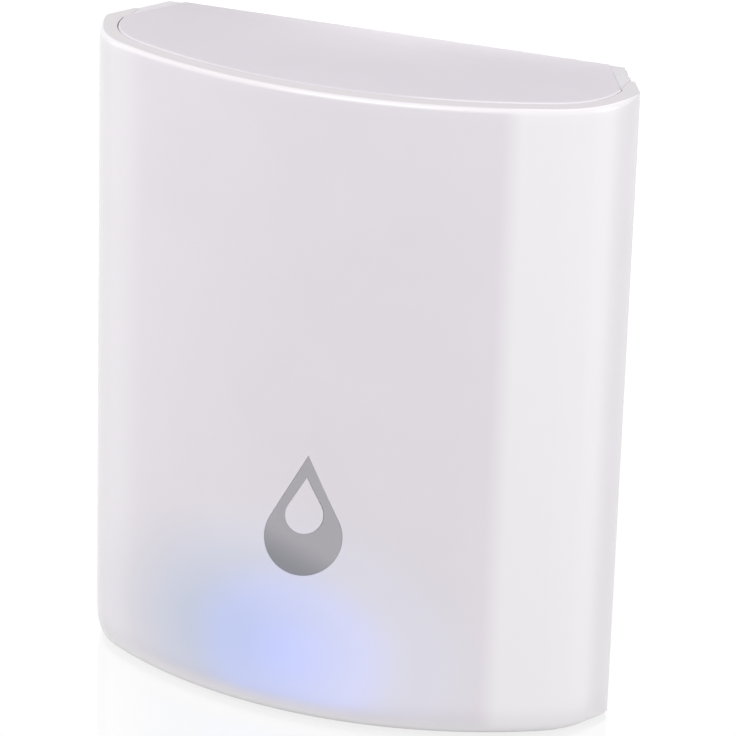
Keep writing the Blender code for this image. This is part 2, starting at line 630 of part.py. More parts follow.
def make_rear_cover(finish):
    mesh = bmesh.new()
    edge = RIM_RADIUS / 2
    add_loft(mesh, [cover_ring(z) for z in (CASE_FOOT_Z, CASE_FOOT_Z + edge, RIM_Z - edge, RIM_Z)])
    cover = place("rear_cover", mesh, finish)

    bay_low = BAY_FLOOR_Z - BAY_SIDE_WALL
    bay_high = BAY_TOP_Z + BAY_SIDE_WALL
    joined = bmesh.new()
    add_box(joined, (-BAY_HALF, BAY_HALF), (BACK_WALL / 2, BAY_FRONT), (bay_low, bay_high))
    tube_end = CASE_BOSS_FROM_BACK - GAP
    for spot in case_screw_spots():
        add_rod(joined, spot, TUBE_RADIUS, BACK_WALL / 2, tube_end)
    for side in (-1, 1):
        add_prism(joined, lip_outline(side), BASE_GROOVE_HIGH_Z + GAP, CAP_GROOVE_LOW_Z - GAP)
    combine(cover, helper("cover_bay_and_tubes", joined), "UNION")

    posts = bmesh.new()
    for spot in board_screw_spots():
        add_rod(posts, spot, BOARD_BOSS_RADIUS, BACK_WALL / 2, BOARD_BACK - GAP)
    ear = (0.0, EAR_Z)
    ear_floor = DOOR_EAR_THICKNESS + GAP
    add_rod(posts, ear, EAR_BOSS_RADIUS, BACK_WALL / 2, EAR_BOSS_DEPTH, BIG_ROUND)
    combine(cover, helper("cover_posts", posts), "UNION")

    hollow = bmesh.new()
    bay_x = BAY_WIDTH / 2
    add_box(hollow, (-bay_x, bay_x), (-BEYOND, BAY_DEPTH), (BAY_FLOOR_Z, BAY_TOP_Z))
    add_hole(hollow, ear, DOOR_EAR_RADIUS + GAP, -BEYOND, ear_floor, BIG_ROUND)
    seat = CASE_SCREW_SUNK + CASE_SCREW_HEAD_HEIGHT + GAP
    for spot in case_screw_spots():
        head = CASE_SCREW_HEAD_RADIUS + GAP
        shank = CASE_SCREW_RADIUS + GAP
        profile = [(0, -BEYOND), (head, -BEYOND), (head, seat), (shank, seat), (shank, tube_end + BEYOND)]
        add_turned(hollow, profile + [(0, tube_end + BEYOND)], inward(*spot), SMALL_ROUND, HOLE_TURN)
    for spot in board_screw_spots():
        end = BOARD_BACK + BEYOND
        add_hole(hollow, spot, BOARD_SCREW_RADIUS + GAP, BOARD_BACK - BOARD_SCREW_LENGTH, end)
    for i in range(SOUND_HOLE_COUNT):
        spot = (SOUND_HOLE_FIRST_X + SOUND_HOLE_PITCH * i, EAR_Z)
        add_hole(hollow, spot, SOUND_HOLE_RADIUS, -BEYOND, BACK_WALL + BEYOND, TINY_ROUND)
    combine(cover, helper("cover_hollows", hollow), "DIFFERENCE")

    seats = bmesh.new()
    add_slab(seats, door_outline(GAP), -BEYOND, DOOR_SEAT)
    add_hole(seats, ear, BOARD_SCREW_RADIUS + GAP, ear_floor - OVERLAP, EAR_BOSS_DEPTH - EAR_BOSS_WALL)
    tab_half = CONTACT_TAB_WIDTH / 2 + GAP
    for side in (-1, 1):
        x = side * CELL_X
        z = (LOWER_PLATE_Z - GAP, LOWER_PLATE_Z + CONTACT_THICKNESS + GAP)
        add_box(seats, (x - tab_half, x + tab_half), (BAY_DEPTH - OVERLAP, BAY_FRONT + BEYOND), z)
    inner_y = from_back(BACK_WALL)
    corner_x = diagonal_x(inner_y, WALL)
    notch = [(corner_x - BEYOND, inner_y - OVERLAP), (corner_x, inner_y)]
    notch.append((diagonal_x(BACK_Y + BEYOND, WALL), BACK_Y + BEYOND))
    add_prism(seats, notch + mirrored(notch), CAP_UNDER_Z - GAP, RIM_Z + BEYOND)
    tongue = BASE_TONGUE_WIDTH / 2 + GAP
    groove = (BACK_WALL - BASE_TONGUE_DEPTH, BACK_WALL + OVERLAP)
    add_box(seats, (-tongue, tongue), groove, (BASE_GROOVE_LOW_Z, BASE_TOP_Z + GAP))
    combine(cover, helper("cover_seats", seats), "DIFFERENCE")

    notches = bmesh.new()
    half = DOOR_HOOK_WIDTH / 2 + GAP
    depth = (BACK_WALL - OVERLAP, BACK_WALL + GAP + DOOR_HOOK_THICKNESS + GAP)
    for side in (-1, 1):
        x = side * DOOR_HOOK_X
        add_box(notches, (x - half, x + half), depth, (bay_low - BEYOND, BAY_FLOOR_Z + OVERLAP))
    combine(cover, helper("cover_hook_notches", notches), "DIFFERENCE")


def plate_ring(z, inset, back_inset, edge=0.0):
    """One level of the cap or the base plate: front part inside the shell, rear part inside the cover."""
    start_y = WIDEST_Y - GAP
    path = right_path(z, inset + edge)
    path[0] = (WIDTH / 2 - inset - edge, start_y - GAP)
    back_y = from_back(back_inset + edge)
    rear = FIT_INSET + edge
    right = [(diagonal_x(back_y, rear), back_y), (diagonal_x(start_y, rear), start_y)] + path
    return [(x, y, z) for x, y in reversed(right + mirrored(right))]


def make_top_cap(finish):
    levels = (
        (CAP_UNDER_Z, FLANGE_INSET, 0.0),
        (CAP_FLANGE_TOP_Z, FLANGE_INSET, 0.0),
        (CAP_FLANGE_TOP_Z, FIT_INSET, 0.0),
        (CAP_TOP_Z - CAP_CHAMFER, FIT_INSET, 0.0),
        (CAP_TOP_Z, FIT_INSET, CAP_CHAMFER),
    )
    mesh = bmesh.new()
    add_loft(mesh, [plate_ring(z, inset, 0.0, edge) for z, inset, edge in levels])
    cap = place("top_cap", mesh, finish)
    lugs = bmesh.new()
    width, thickness, drop = CAP_LUG
    for side in (-1, 1):
        x = side * CAP_LUG_X
        depth = (BACK_WALL + GAP, BACK_WALL + GAP + thickness)
        add_box(lugs, (x - width / 2, x + width / 2), depth, (CAP_UNDER_Z - drop, CAP_UNDER_Z + OVERLAP))
    combine(cap, helper("cap_lugs", lugs), "UNION")


def make_base_plate(finish):
    back = BACK_WALL + GAP
    levels = (
        (CASE_FOOT_Z, FIT_INSET),
        (BASE_FLANGE_LOW_Z, FIT_INSET),
        (BASE_FLANGE_LOW_Z, FLANGE_INSET),
        (BASE_TOP_Z, FLANGE_INSET),
    )
    mesh = bmesh.new()
    add_loft(mesh, [plate_ring(z, inset, back) for z, inset in levels])
    base = place("base_plate", mesh, finish)
    tongue = bmesh.new()
    half = BASE_TONGUE_WIDTH / 2
    depth = (BACK_WALL - BASE_TONGUE_DEPTH + GAP, back + BEYOND)
    add_box(tongue, (-half, half), depth, (BASE_FLANGE_LOW_Z, BASE_TOP_Z - GAP / 2))
    combine(base, helper("base_tongue", tongue), "UNION")

    holes = bmesh.new()
    for side in (-1, 1):
        for x, distance in FEET:
            top = FOOT_THICKNESS + GAP
            profile = [(0, -BEYOND), (FOOT_RADIUS + GAP, -BEYOND), (FOOT_RADIUS + GAP, top), (0, top)]
            add_turned(holes, profile, upright(side * x, from_back(distance)), BIG_ROUND, HOLE_TURN)
        head_top = PROBE_HEAD_Z + PROBE_HEAD_THICKNESS + GAP
        head = PROBE_HEAD_RADIUS + GAP
        shank = PROBE_SHANK_RADIUS + GAP
        end = BASE_TOP_Z + BEYOND
        profile = [(0, -BEYOND), (head, -BEYOND), (head, head_top), (shank, head_top), (shank, end), (0, end)]
        at = upright(side * PROBE_X, from_back(PROBE_FROM_BACK))
        add_turned(holes, profile, at, SMALL_ROUND, HOLE_TURN)
    combine(base, helper("base_holes", holes), "DIFFERENCE")


def make_seal(name, low_z, finish):
    """A flat strip of silicone that lies in the front shell's groove."""
    rings = []
    for z in (low_z, low_z + SEAL_THICKNESS):
        outer = front_path(z, FLANGE_INSET)[1:-1]
        inner = front_path(z, FLANGE_INSET + SEAL_WIDTH)[1:-1]
        rings.append([(x, y, z) for x, y in list(reversed(outer)) + inner])
    mesh = bmesh.new()
    add_loft(mesh, rings)
    place(name, mesh, finish)


def make_battery_door(finish):
    mesh = bmesh.new()
    add_slab(mesh, door_outline(0.0), 0.0, DOOR_THICKNESS)
    door = place("battery_door", mesh, finish)
    added = bmesh.new()
    ear = (0.0, EAR_Z)
    add_rod(added, ear, DOOR_EAR_RADIUS - GAP / 2, DOOR_THICKNESS / 2, DOOR_EAR_THICKNESS, BIG_ROUND)
    bay_low = BAY_FLOOR_Z - DOOR_LEDGE
    leg = DOOR_LEDGE - GAP
    near = BACK_WALL + GAP
    for side in (-1, 1):
        x = side * DOOR_HOOK_X
        wide = (x - DOOR_HOOK_WIDTH / 2, x + DOOR_HOOK_WIDTH / 2)
        outline = [
            (near + DOOR_HOOK_THICKNESS, bay_low - DOOR_HOOK_DROP),
            (near + DOOR_HOOK_THICKNESS, bay_low + leg),
            (DOOR_THICKNESS / 2, bay_low + leg),
            (DOOR_THICKNESS / 2, bay_low + GAP),
            (near, bay_low + GAP),
            (near, bay_low - DOOR_HOOK_DROP),
        ]
        add_loft(added, [[(x_at, from_back(d), z) for d, z in outline] for x_at in wide])
    combine(door, helper("door_ear_and_hooks", added), "UNION")
    holes = bmesh.new()
    head = BOARD_SCREW_HEAD_RADIUS + GAP
    shank = BOARD_SCREW_RADIUS + GAP
    seat = BOARD_SCREW_HEAD_HEIGHT + 2 * GAP
    end = DOOR_EAR_THICKNESS + BEYOND
    profile = [(0, -BEYOND), (head, -BEYOND), (head, seat), (shank, seat), (shank, end), (0, end)]
    add_turned(holes, profile, inward(*ear), SMALL_ROUND, HOLE_TURN)
    combine(door, helper("door_screw_hole", holes), "DIFFERENCE")


# Drop, lamp and board


def make_drop(finish):
    mesh = bmesh.new()
    add_drop(mesh, 0.0, 0.0, DROP_THICKNESS)
    place("drop_emblem", mesh, finish)


def make_light_guide(finish):
    """A clear block that fills the space between the lamp and the curved front wall."""
    back_y = from_back(GUIDE_FROM_BACK)
    rings = []
    for z in (GUIDE_LOW_Z, GUIDE_LOW_Z + GUIDE_HEIGHT):
        radius, centre_y, _ = front_arc(z)
        reach = radius - FIT_INSET
        side = math.asin(GUIDE_WIDTH / 2 / reach)
        ring = [(GUIDE_WIDTH / 2, back_y), (-GUIDE_WIDTH / 2, back_y)]
        for i in range(FRONT_STEPS + 1):
            angle = -side + 2 * side * i / FRONT_STEPS
            ring.append((reach * math.sin(angle), centre_y - reach * math.cos(angle)))
        rings.append([(x, y, z) for x, y in ring])
    mesh = bmesh.new()
    add_loft(mesh, rings)
    place("light_guide", mesh, finish)


def on_board(place):
    """X and Z of a place given by X and the distance below the board's top edge."""
    return place[0], BOARD_HIGH_Z - place[1]


def make_circuit_board(finish):
    mesh = bmesh.new()
    middle = (0.0, (BOARD_LOW_Z + BOARD_HIGH_Z) / 2)
    outline = rounded_rectangle(BOARD_WIDTH, BOARD_HIGH_Z - BOARD_LOW_Z, BOARD_CORNER, middle)
    add_slab(mesh, outline, BOARD_BACK, BOARD_FRONT)
    board = place("circuit_board", mesh, finish)
    holes = bmesh.new()
    for spot in board_screw_spots():
        add_hole(holes, spot, BOARD_SCREW_RADIUS + GAP, BOARD_BACK - BEYOND, BOARD_FRONT + BEYOND)
    combine(board, helper("board_holes", holes), "DIFFERENCE")


def make_block(name, size, at, finish, corner=0.0004, chamfer=0.0002):
    """A small part with eased edges on the front face of the board."""
    width, depth, height = size
    mesh = bmesh.new()
    rings = []
    near = MOUNT_FROM_BACK
    for distance, inset in ((near, 0.0), (near + depth - chamfer, 0.0), (near + depth, chamfer)):
        outline = rounded_rectangle(width - 2 * inset, height - 2 * inset, corner, at, 2)
        rings.append([(x, from_back(distance), z) for x, z in outline])
    add_loft(mesh, rings)
    place(name, mesh, finish)


def make_radio(finish):
    """Radio module: a small board with a metal can over it, bonded into one part."""
    width, depth, height = RADIO_SIZE
    near = MOUNT_FROM_BACK
    step = near + RADIO_BOARD_THICKNESS
    mesh = bmesh.new()
    rings = []
    can = RADIO_CAN_INSET
    for distance, inset in ((near, 0.0), (step, 0.0), (step, can), (near + depth, can)):
        inner = (width - 2 * inset, height - 2 * inset)
        outline = rounded_rectangle(*inner, BOARD_CORNER / 2, on_board(RADIO_AT), 2)
        rings.append([(x, from_back(distance), z) for x, z in outline])
    add_loft(mesh, rings)
    place("radio_module", mesh, finish)


def make_antenna(finish):
    """A stamped strip in the shape of an F on its side."""
    width, height = ANTENNA_SIZE
    middle_x, middle_z = on_board(ANTENNA_AT)
    left = middle_x - width / 2
    top = middle_z + height / 2
    low = top - height
    strip = ANTENNA_STRIP
    second = left + 3 * strip
    outline = [
        (left, low), (left + strip, low), (left + strip, top - strip), (second, top - strip),
        (second, low), (second + strip, low), (second + strip, top - strip),
        (left + width, top - strip), (left + width, top), (left, top),
    ]
    mesh = bmesh.new()
    add_slab(mesh, outline, MOUNT_FROM_BACK, MOUNT_FROM_BACK + ANTENNA_THICKNESS)
    place("antenna", mesh, finish)


def make_sounder(finish):
    near = MOUNT_FROM_BACK
    far = near + SOUNDER_THICKNESS
    edge = SOUNDER_RADIUS / 12
    profile = [
        (0, near), (SOUNDER_RADIUS, near), (SOUNDER_RADIUS, far - edge), (SOUNDER_RADIUS - edge, far),
        (SOUNDER_HOLE_RADIUS, far), (SOUNDER_HOLE_RADIUS, far - SOUNDER_HOLE_DEPTH),
        (0, far - SOUNDER_HOLE_DEPTH),
    ]
    mesh = bmesh.new()
    add_turned(mesh, profile, inward(*on_board(SOUNDER_AT)), BIG_ROUND)
    place("sounder", mesh, finish)


# Cells and contacts


def make_cell(name, x, flipped, finish):
    """A cell standing on the lower plate, or upside down under the upper one."""
    body = CELL_LENGTH - CELL_NUB_HEIGHT
    edge = CELL_GAP / 2
    profile = [
        (0, 0.0), (CELL_RADIUS - edge, 0.0), (CELL_RADIUS, edge), (CELL_RADIUS, body - edge),
        (CELL_RADIUS - edge, body), (CELL_NUB_RADIUS, body), (CELL_NUB_RADIUS, CELL_LENGTH), (0, CELL_LENGTH),
    ]
    if flipped:
        low = LOWER_PLATE_Z + CONTACT_THICKNESS + GAP
        profile = [(radius, CELL_LENGTH - height) for radius, height in profile]
    else:
        low = UPPER_PLATE_Z - GAP - CELL_LENGTH
    mesh = bmesh.new()
    add_turned(mesh, profile, upright(x, from_back(CELL_FROM_BACK), low), BIG_ROUND)
    place(name, mesh, finish)


def make_spring(name, x, low_z, wide_end_up, finish):
    """A cone-shaped coil of wire between a cell's flat end and its plate."""
    curve = bpy.data.curves.new(name, "CURVE")
    curve.dimensions = "3D"
    curve.bevel_depth = SPRING_WIRE_RADIUS
    curve.bevel_resolution = 1
    curve.use_fill_caps = True
    steps = WIRE_STEPS * SPRING_TURNS
    path = curve.splines.new("POLY")
    path.points.add(steps)
    length = SPRING_LENGTH - 2 * GAP - 2 * SPRING_WIRE_RADIUS
    for i in range(steps + 1):
        share = i / steps
        radius = SPRING_RADIUS_WIDE + (SPRING_RADIUS_NARROW - SPRING_RADIUS_WIDE) * share
        rise = length * (1 - share if wide_end_up else share)
        angle = 2 * math.pi * SPRING_TURNS * share
        z = low_z + GAP + SPRING_WIRE_RADIUS + rise
        y = from_back(CELL_FROM_BACK) + radius * math.sin(angle)
        path.points[i].co = (x + radius * math.cos(angle), y, z, 1.0)
    curve.materials.append(finish)
    spring = bpy.data.objects.new(name, curve)
    bpy.context.scene.collection.objects.link(spring)


def make_contact(name, left, right, low_z, tab_x, finish):
    """A flat contact plate, with a solder tab through the bay's front wall where it has one."""
    near = CELL_FROM_BACK - CONTACT_SIDE / 2
    far = CELL_FROM_BACK + CONTACT_SIDE / 2
    outline = [(left, far), (left, near), (right, near), (right, far)]
    if tab_x is not None:
        half = CONTACT_TAB_WIDTH / 2
        end = BOARD_BACK - GAP
        outline += [(tab_x + half, far), (tab_x + half, end), (tab_x - half, end), (tab_x - half, far)]
    mesh = bmesh.new()
    add_prism(mesh, [(x, from_back(d)) for x, d in outline], low_z, low_z + CONTACT_THICKNESS)
    place(name, mesh, finish)


def make_cells_and_contacts(jacket, steel):
    make_cell("battery_cell_1", -CELL_X, False, jacket)
    make_cell("battery_cell_2", CELL_X, True, jacket)
    make_spring("contact_spring_lower", -CELL_X, LOWER_PLATE_Z + CONTACT_THICKNESS, False, steel)
    make_spring("contact_spring_upper", CELL_X, UPPER_PLATE_Z - SPRING_LENGTH, True, steel)
    half = CONTACT_SIDE / 2
    make_contact("contact_plate_negative", -CELL_X - half, -CELL_X + half, LOWER_PLATE_Z, -CELL_X, steel)
    make_contact("contact_plate_positive", CELL_X - half, CELL_X + half, LOWER_PLATE_Z, CELL_X, steel)
    make_contact("contact_plate_bridge", -CELL_X - half, CELL_X + half, UPPER_PLATE_Z, None, steel)


# Probes, feet and screws


def make_probes(steel, green, black):
    y = from_back(PROBE_FROM_BACK)
    edge = PROBE_HEAD_THICKNESS / 4
    low = PROBE_HEAD_Z
    high = low + PROBE_HEAD_THICKNESS
    profile = [
        (0, low), (PROBE_HEAD_RADIUS - edge, low), (PROBE_HEAD_RADIUS, low + edge), (PROBE_HEAD_RADIUS, high),
        (PROBE_SHANK_RADIUS, high), (PROBE_SHANK_RADIUS, PROBE_TOP_Z), (0, PROBE_TOP_Z),
    ]
    holes = bmesh.new()
    for number, side in ((1, -1), (2, 1)):
        mesh = bmesh.new()
        add_turned(mesh, profile, upright(side * PROBE_X, y), SMALL_ROUND, HOLE_TURN)
        place(f"water_probe_{number}", mesh, steel)
        radius = PROBE_SHANK_RADIUS + GAP
        span = (PROBE_BOARD_Z - BEYOND, PROBE_BOARD_Z + PROBE_BOARD_THICKNESS + BEYOND)
        hole = [(0, span[0]), (radius, span[0]), (radius, span[1]), (0, span[1])]
        add_turned(holes, hole, upright(side * PROBE_X, y), SMALL_ROUND, HOLE_TURN)
    middle = (0.0, from_back((PROBE_BOARD_BACK + PROBE_BOARD_FRONT) / 2))
    outline = rounded_rectangle(PROBE_BOARD_WIDTH, PROBE_BOARD_FRONT - PROBE_BOARD_BACK, BOARD_CORNER, middle)
    mesh = bmesh.new()
    add_prism(mesh, outline, PROBE_BOARD_Z, PROBE_BOARD_Z + PROBE_BOARD_THICKNESS)
    board = place("probe_board", mesh, green)
    combine(board, helper("probe_board_holes", holes), "DIFFERENCE")
    header_z = PROBE_BOARD_Z + PROBE_BOARD_THICKNESS + GAP + HEADER_SIZE[2] / 2
    make_block("board_header", HEADER_SIZE, (HEADER_X, header_z), black)


def make_feet(rubber):
    number = 0
    for x, distance in FEET:
        for side in (-1, 1):
            number += 1
            low = [(0, 0.0), (FOOT_RADIUS - FOOT_EDGE, 0.0), (FOOT_RADIUS, FOOT_EDGE)]
            profile = low + [(FOOT_RADIUS, FOOT_THICKNESS), (0, FOOT_THICKNESS)]
            mesh = bmesh.new()
            add_turned(mesh, profile, upright(side * x, from_back(distance)), BIG_ROUND)
            place(f"foot_pad_{number}", mesh, rubber)


def hexagon(across):
    """Radius of a hexagon at an angle, from the distance across its flats."""
    return lambda angle: across / 2 / math.cos((angle % (math.pi / 3)) - math.pi / 6)


def make_screw(name, spot, head_radius, head_height, radius, length, head_at, forward, steel):
    """A screw along Y with a hexagon socket. Its head starts at this distance from the back plane."""
    socket = hexagon(2 * head_radius * SOCKET_SHARE)
    edge = head_height / 6
    floor = head_height * SOCKET_DEPTH_SHARE
    profile = [
        (0, floor), (socket, floor), (socket, 0.0), (head_radius - edge, 0.0), (head_radius, edge),
        (head_radius, head_height), (radius, head_height), (radius, head_height + length - radius),
        (radius / 2, head_height + length), (0, head_height + length),
    ]
    sign = 1 if forward else -1
    placed = [(size, head_at + sign * along) for size, along in profile]
    mesh = bmesh.new()
    add_turned(mesh, placed, inward(*spot), SMALL_ROUND)
    place(name, mesh, steel)


def make_screws(steel):
    for number, spot in enumerate(case_screw_spots(), 1):
        make_screw(f"case_screw_{number}", spot, CASE_SCREW_HEAD_RADIUS, CASE_SCREW_HEAD_HEIGHT,
                   CASE_SCREW_RADIUS, CASE_SCREW_LENGTH, CASE_SCREW_SUNK, True, steel)
    head_at = BOARD_FRONT + GAP + BOARD_SCREW_HEAD_HEIGHT
    for number, spot in enumerate(board_screw_spots(), 1):
        make_screw(f"board_screw_{number}", spot, BOARD_SCREW_HEAD_RADIUS, BOARD_SCREW_HEAD_HEIGHT,
                   BOARD_SCREW_RADIUS, BOARD_SCREW_LENGTH, head_at, False, steel)
    length = EAR_BOSS_DEPTH - EAR_BOSS_WALL - 2 * GAP - BOARD_SCREW_HEAD_HEIGHT
    make_screw("door_screw", (0.0, EAR_Z), BOARD_SCREW_HEAD_RADIUS, BOARD_SCREW_HEAD_HEIGHT,
               BOARD_SCREW_RADIUS, length, GAP, True, steel)


clear_scene()
make_front_shell(material("pearl white moulding", (0.80, 0.78, 0.82), 0.22))
make_rear_cover(material("white moulding", (0.72, 0.70, 0.74), 0.35))
make_top_cap(material("satin white moulding", (0.70, 0.68, 0.72), 0.45))
make_base_plate(material("white base moulding", (0.68, 0.67, 0.70), 0.45))
make_battery_door(material("white door moulding", (0.71, 0.69, 0.73), 0.38))
silicone = material("grey silicone", (0.35, 0.35, 0.37), 0.70)
make_seal("cap_seal", CAP_UNDER_Z - GAP - SEAL_THICKNESS, silicone)
make_seal("base_seal", BASE_TOP_Z + GAP, silicone)
make_drop(material("silver print", (0.42, 0.41, 0.43), 0.40, 0.60))
make_light_guide(material("clear plastic", (0.75, 0.82, 0.95), 0.10))
circuit_green = material("green circuit board", (0.03, 0.22, 0.09), 0.45)
make_circuit_board(circuit_green)
make_block("status_led", LED_SIZE, (0.0, LED_Z), material("blue lamp", (0.25, 0.40, 0.95), 0.25))
tinned = material("tinned can", (0.62, 0.62, 0.64), 0.35, 1.0)
make_radio(tinned)
make_block("main_chip", CHIP_SIZE, on_board(CHIP_AT), material("black epoxy", (0.02, 0.02, 0.02), 0.55))
make_block("power_coil", COIL_SIZE, on_board(COIL_AT), material("grey ferrite", (0.08, 0.08, 0.085), 0.65))
make_block("supply_capacitor", CAPACITOR_SIZE, on_board(CAPACITOR_AT),
           material("ochre epoxy", (0.55, 0.33, 0.06), 0.50))
make_antenna(material("gilt strip", (0.80, 0.60, 0.25), 0.30, 1.0))
make_sounder(material("black sounder case", (0.03, 0.03, 0.03), 0.50))
nickel = material("nickel plate", (0.66, 0.64, 0.60), 0.28, 1.0)
make_cells_and_contacts(material("cell jacket", (0.06, 0.09, 0.11), 0.40), nickel)
make_probes(material("stainless probe", (0.60, 0.60, 0.61), 0.22, 1.0), circuit_green,
            material("black header", (0.03, 0.03, 0.03), 0.55))
make_feet(material("black rubber", (0.03, 0.03, 0.03), 0.85))
make_screws(material("zinc plate", (0.55, 0.55, 0.57), 0.32, 1.0))
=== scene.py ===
import math

import bmesh
import bpy
from mathutils import Matrix, Vector


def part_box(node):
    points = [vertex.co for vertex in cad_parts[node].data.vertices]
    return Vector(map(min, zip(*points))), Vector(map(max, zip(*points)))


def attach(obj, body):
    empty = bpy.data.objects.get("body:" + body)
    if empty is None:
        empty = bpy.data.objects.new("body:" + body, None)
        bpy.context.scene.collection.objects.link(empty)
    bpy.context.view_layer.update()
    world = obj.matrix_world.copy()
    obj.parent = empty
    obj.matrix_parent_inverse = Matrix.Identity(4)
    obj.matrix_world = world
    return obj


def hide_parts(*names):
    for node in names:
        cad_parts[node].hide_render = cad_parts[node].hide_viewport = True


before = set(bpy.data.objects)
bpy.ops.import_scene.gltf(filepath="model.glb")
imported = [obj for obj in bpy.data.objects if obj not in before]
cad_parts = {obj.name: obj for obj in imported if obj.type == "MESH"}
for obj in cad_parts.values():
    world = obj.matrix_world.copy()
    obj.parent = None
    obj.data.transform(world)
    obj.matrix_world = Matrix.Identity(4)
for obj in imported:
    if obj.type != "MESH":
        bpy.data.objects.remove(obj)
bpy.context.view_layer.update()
scene = bpy.context.scene
scene.view_settings.view_transform = "Standard"

# Camera
# A long lens looks down on the box from the front right, with the picture tipped very slightly.
# The look-at point is inside the box, and the lens shift sets where the box stands in the picture.
CAMERA_AZIMUTH = math.radians(21.2636)
CAMERA_ELEVATION = math.radians(22.258)
CAMERA_ROLL = math.radians(1.5865)
CAMERA_DISTANCE = 0.46093
CAMERA_AIM = Vector((0.0, 0.00048, 0.03579))
CAMERA_LENS = 210.31
CAMERA_SHIFT = (0.02864, 0.01067)

back = Vector((
    math.sin(CAMERA_AZIMUTH) * math.cos(CAMERA_ELEVATION),
    -math.cos(CAMERA_AZIMUTH) * math.cos(CAMERA_ELEVATION),
    math.sin(CAMERA_ELEVATION),
))
level = Vector((math.cos(CAMERA_AZIMUTH), math.sin(CAMERA_AZIMUTH), 0.0))
plumb = back.cross(level)
tipped_right = level * math.cos(CAMERA_ROLL) + plumb * math.sin(CAMERA_ROLL)
tipped_up = plumb * math.cos(CAMERA_ROLL) - level * math.sin(CAMERA_ROLL)
camera_data = bpy.data.cameras.new("camera")
camera_data.sensor_width = 36.0
camera_data.lens = CAMERA_LENS
camera_data.shift_x, camera_data.shift_y = CAMERA_SHIFT
camera_data.clip_start = 0.01
camera = bpy.data.objects.new("camera", camera_data)
camera.matrix_world = Matrix.Translation(CAMERA_AIM + back * CAMERA_DISTANCE) @ Matrix(
    (tipped_right, tipped_up, back)
).transposed().to_4x4()
scene.collection.objects.link(camera)
scene.camera = camera


# Floor and backdrop
# A polished white table that runs on into a white backdrop. It keeps the soft shadow and a
# faint reflection of the box, and away from the box it is as white as the background.
FLOOR_SIZE = 1.6
FLOOR_SHADE = 0.04
FLOOR_BOUNCE = 0.37
FLOOR_LIFT = 0.818
FLOOR_IOR = 1.8
FLOOR_ROUGHNESS = 0.07
SURROUND_LEVEL = 0.65


def node(tree, kind, inputs=None, **settings):
    """Adds a shader node, with its settings and the values or links of its inputs."""
    made = tree.nodes.new(kind)
    for key, value in settings.items():
        setattr(made, key, value)
    for key, value in (inputs or {}).items():
        if isinstance(value, bpy.types.NodeSocket):
            tree.links.new(value, made.inputs[key])
        else:
            made.inputs[key].default_value = value
    return made


def seen_direct(tree):
    """1 for rays that see the background straight, in a reflection or through glass."""
    rays = node(tree, "ShaderNodeLightPath")
    straight = node(tree, "ShaderNodeMath", {
        0: rays.outputs["Is Camera Ray"], 1: rays.outputs["Is Glossy Ray"]}, operation="ADD").outputs[0]
    return node(tree, "ShaderNodeMath", {
        0: straight, 1: rays.outputs["Is Transmission Ray"]}, operation="ADD", use_clamp=True).outputs[0]


world = bpy.data.worlds.new("white surround")
scene.world = world
world.use_nodes = True
tree = world.node_tree
tree.nodes.clear()
strength = node(tree, "ShaderNodeMapRange", {
    "Value": seen_direct(tree), "To Min": SURROUND_LEVEL, "To Max": 1.0}).outputs[0]
light = node(tree, "ShaderNodeBackground", {"Color": (1.0, 1.0, 1.0, 1.0), "Strength": strength})
node(tree, "ShaderNodeOutputWorld", {"Surface": light.outputs[0]})

paint = bpy.data.materials.new("white table")
paint.use_nodes = True
tree = paint.node_tree
tree.nodes.clear()
lift = node(tree, "ShaderNodeMath", {0: seen_direct(tree), 1: FLOOR_LIFT}, operation="MULTIPLY").outputs[0]
shade = node(tree, "ShaderNodeMapRange", {
    "Value": seen_direct(tree), "To Min": FLOOR_BOUNCE, "To Max": FLOOR_SHADE}).outputs[0]
table = node(tree, "ShaderNodeBsdfPrincipled", {
    "Base Color": shade,
    "Roughness": FLOOR_ROUGHNESS,
    "IOR": FLOOR_IOR,
    "Emission Color": (1.0, 1.0, 1.0, 1.0),
    "Emission Strength": lift,
})
node(tree, "ShaderNodeOutputMaterial", {"Surface": table.outputs[0]})
mesh = bpy.data.meshes.new("floor")
half = FLOOR_SIZE / 2
mesh.from_pydata([(-half, -half, 0), (half, -half, 0), (half, half, 0), (-half, half, 0)], [], [(0, 1, 2, 3)])
mesh.materials.append(paint)
floor = bpy.data.objects.new("floor", mesh)
scene.collection.objects.link(floor)


# Lamps
# Four soft boxes: a wide one above and in front, a tall one on the right that brightens the
# rounded end, a weak one on the left, and a low one behind that lights the back.
LAMPS = {
    "soft box above": ((-0.15, -0.65, 0.65), 0.60, 0.60, 4.0),
    "soft box right": ((0.80, 0.05, 0.25), 0.35, 0.70, 3.0),
    "soft box left": ((-0.80, -0.10, 0.30), 0.40, 0.70, 1.2),
    "soft box behind": ((0.0, 0.85, 0.033), 0.70, 0.060, 2.2),
}
for name, (place, wide, tall, watts) in LAMPS.items():
    data = bpy.data.lights.new(name, "AREA")
    data.shape = "RECTANGLE"
    data.size, data.size_y = wide, tall
    data.energy = watts
    lamp = bpy.data.objects.new(name, data)
    lamp.location = place
    lamp.rotation_euler = (CAMERA_AIM - Vector(place)).to_track_quat("-Z", "Y").to_euler()
    scene.collection.objects.link(lamp)


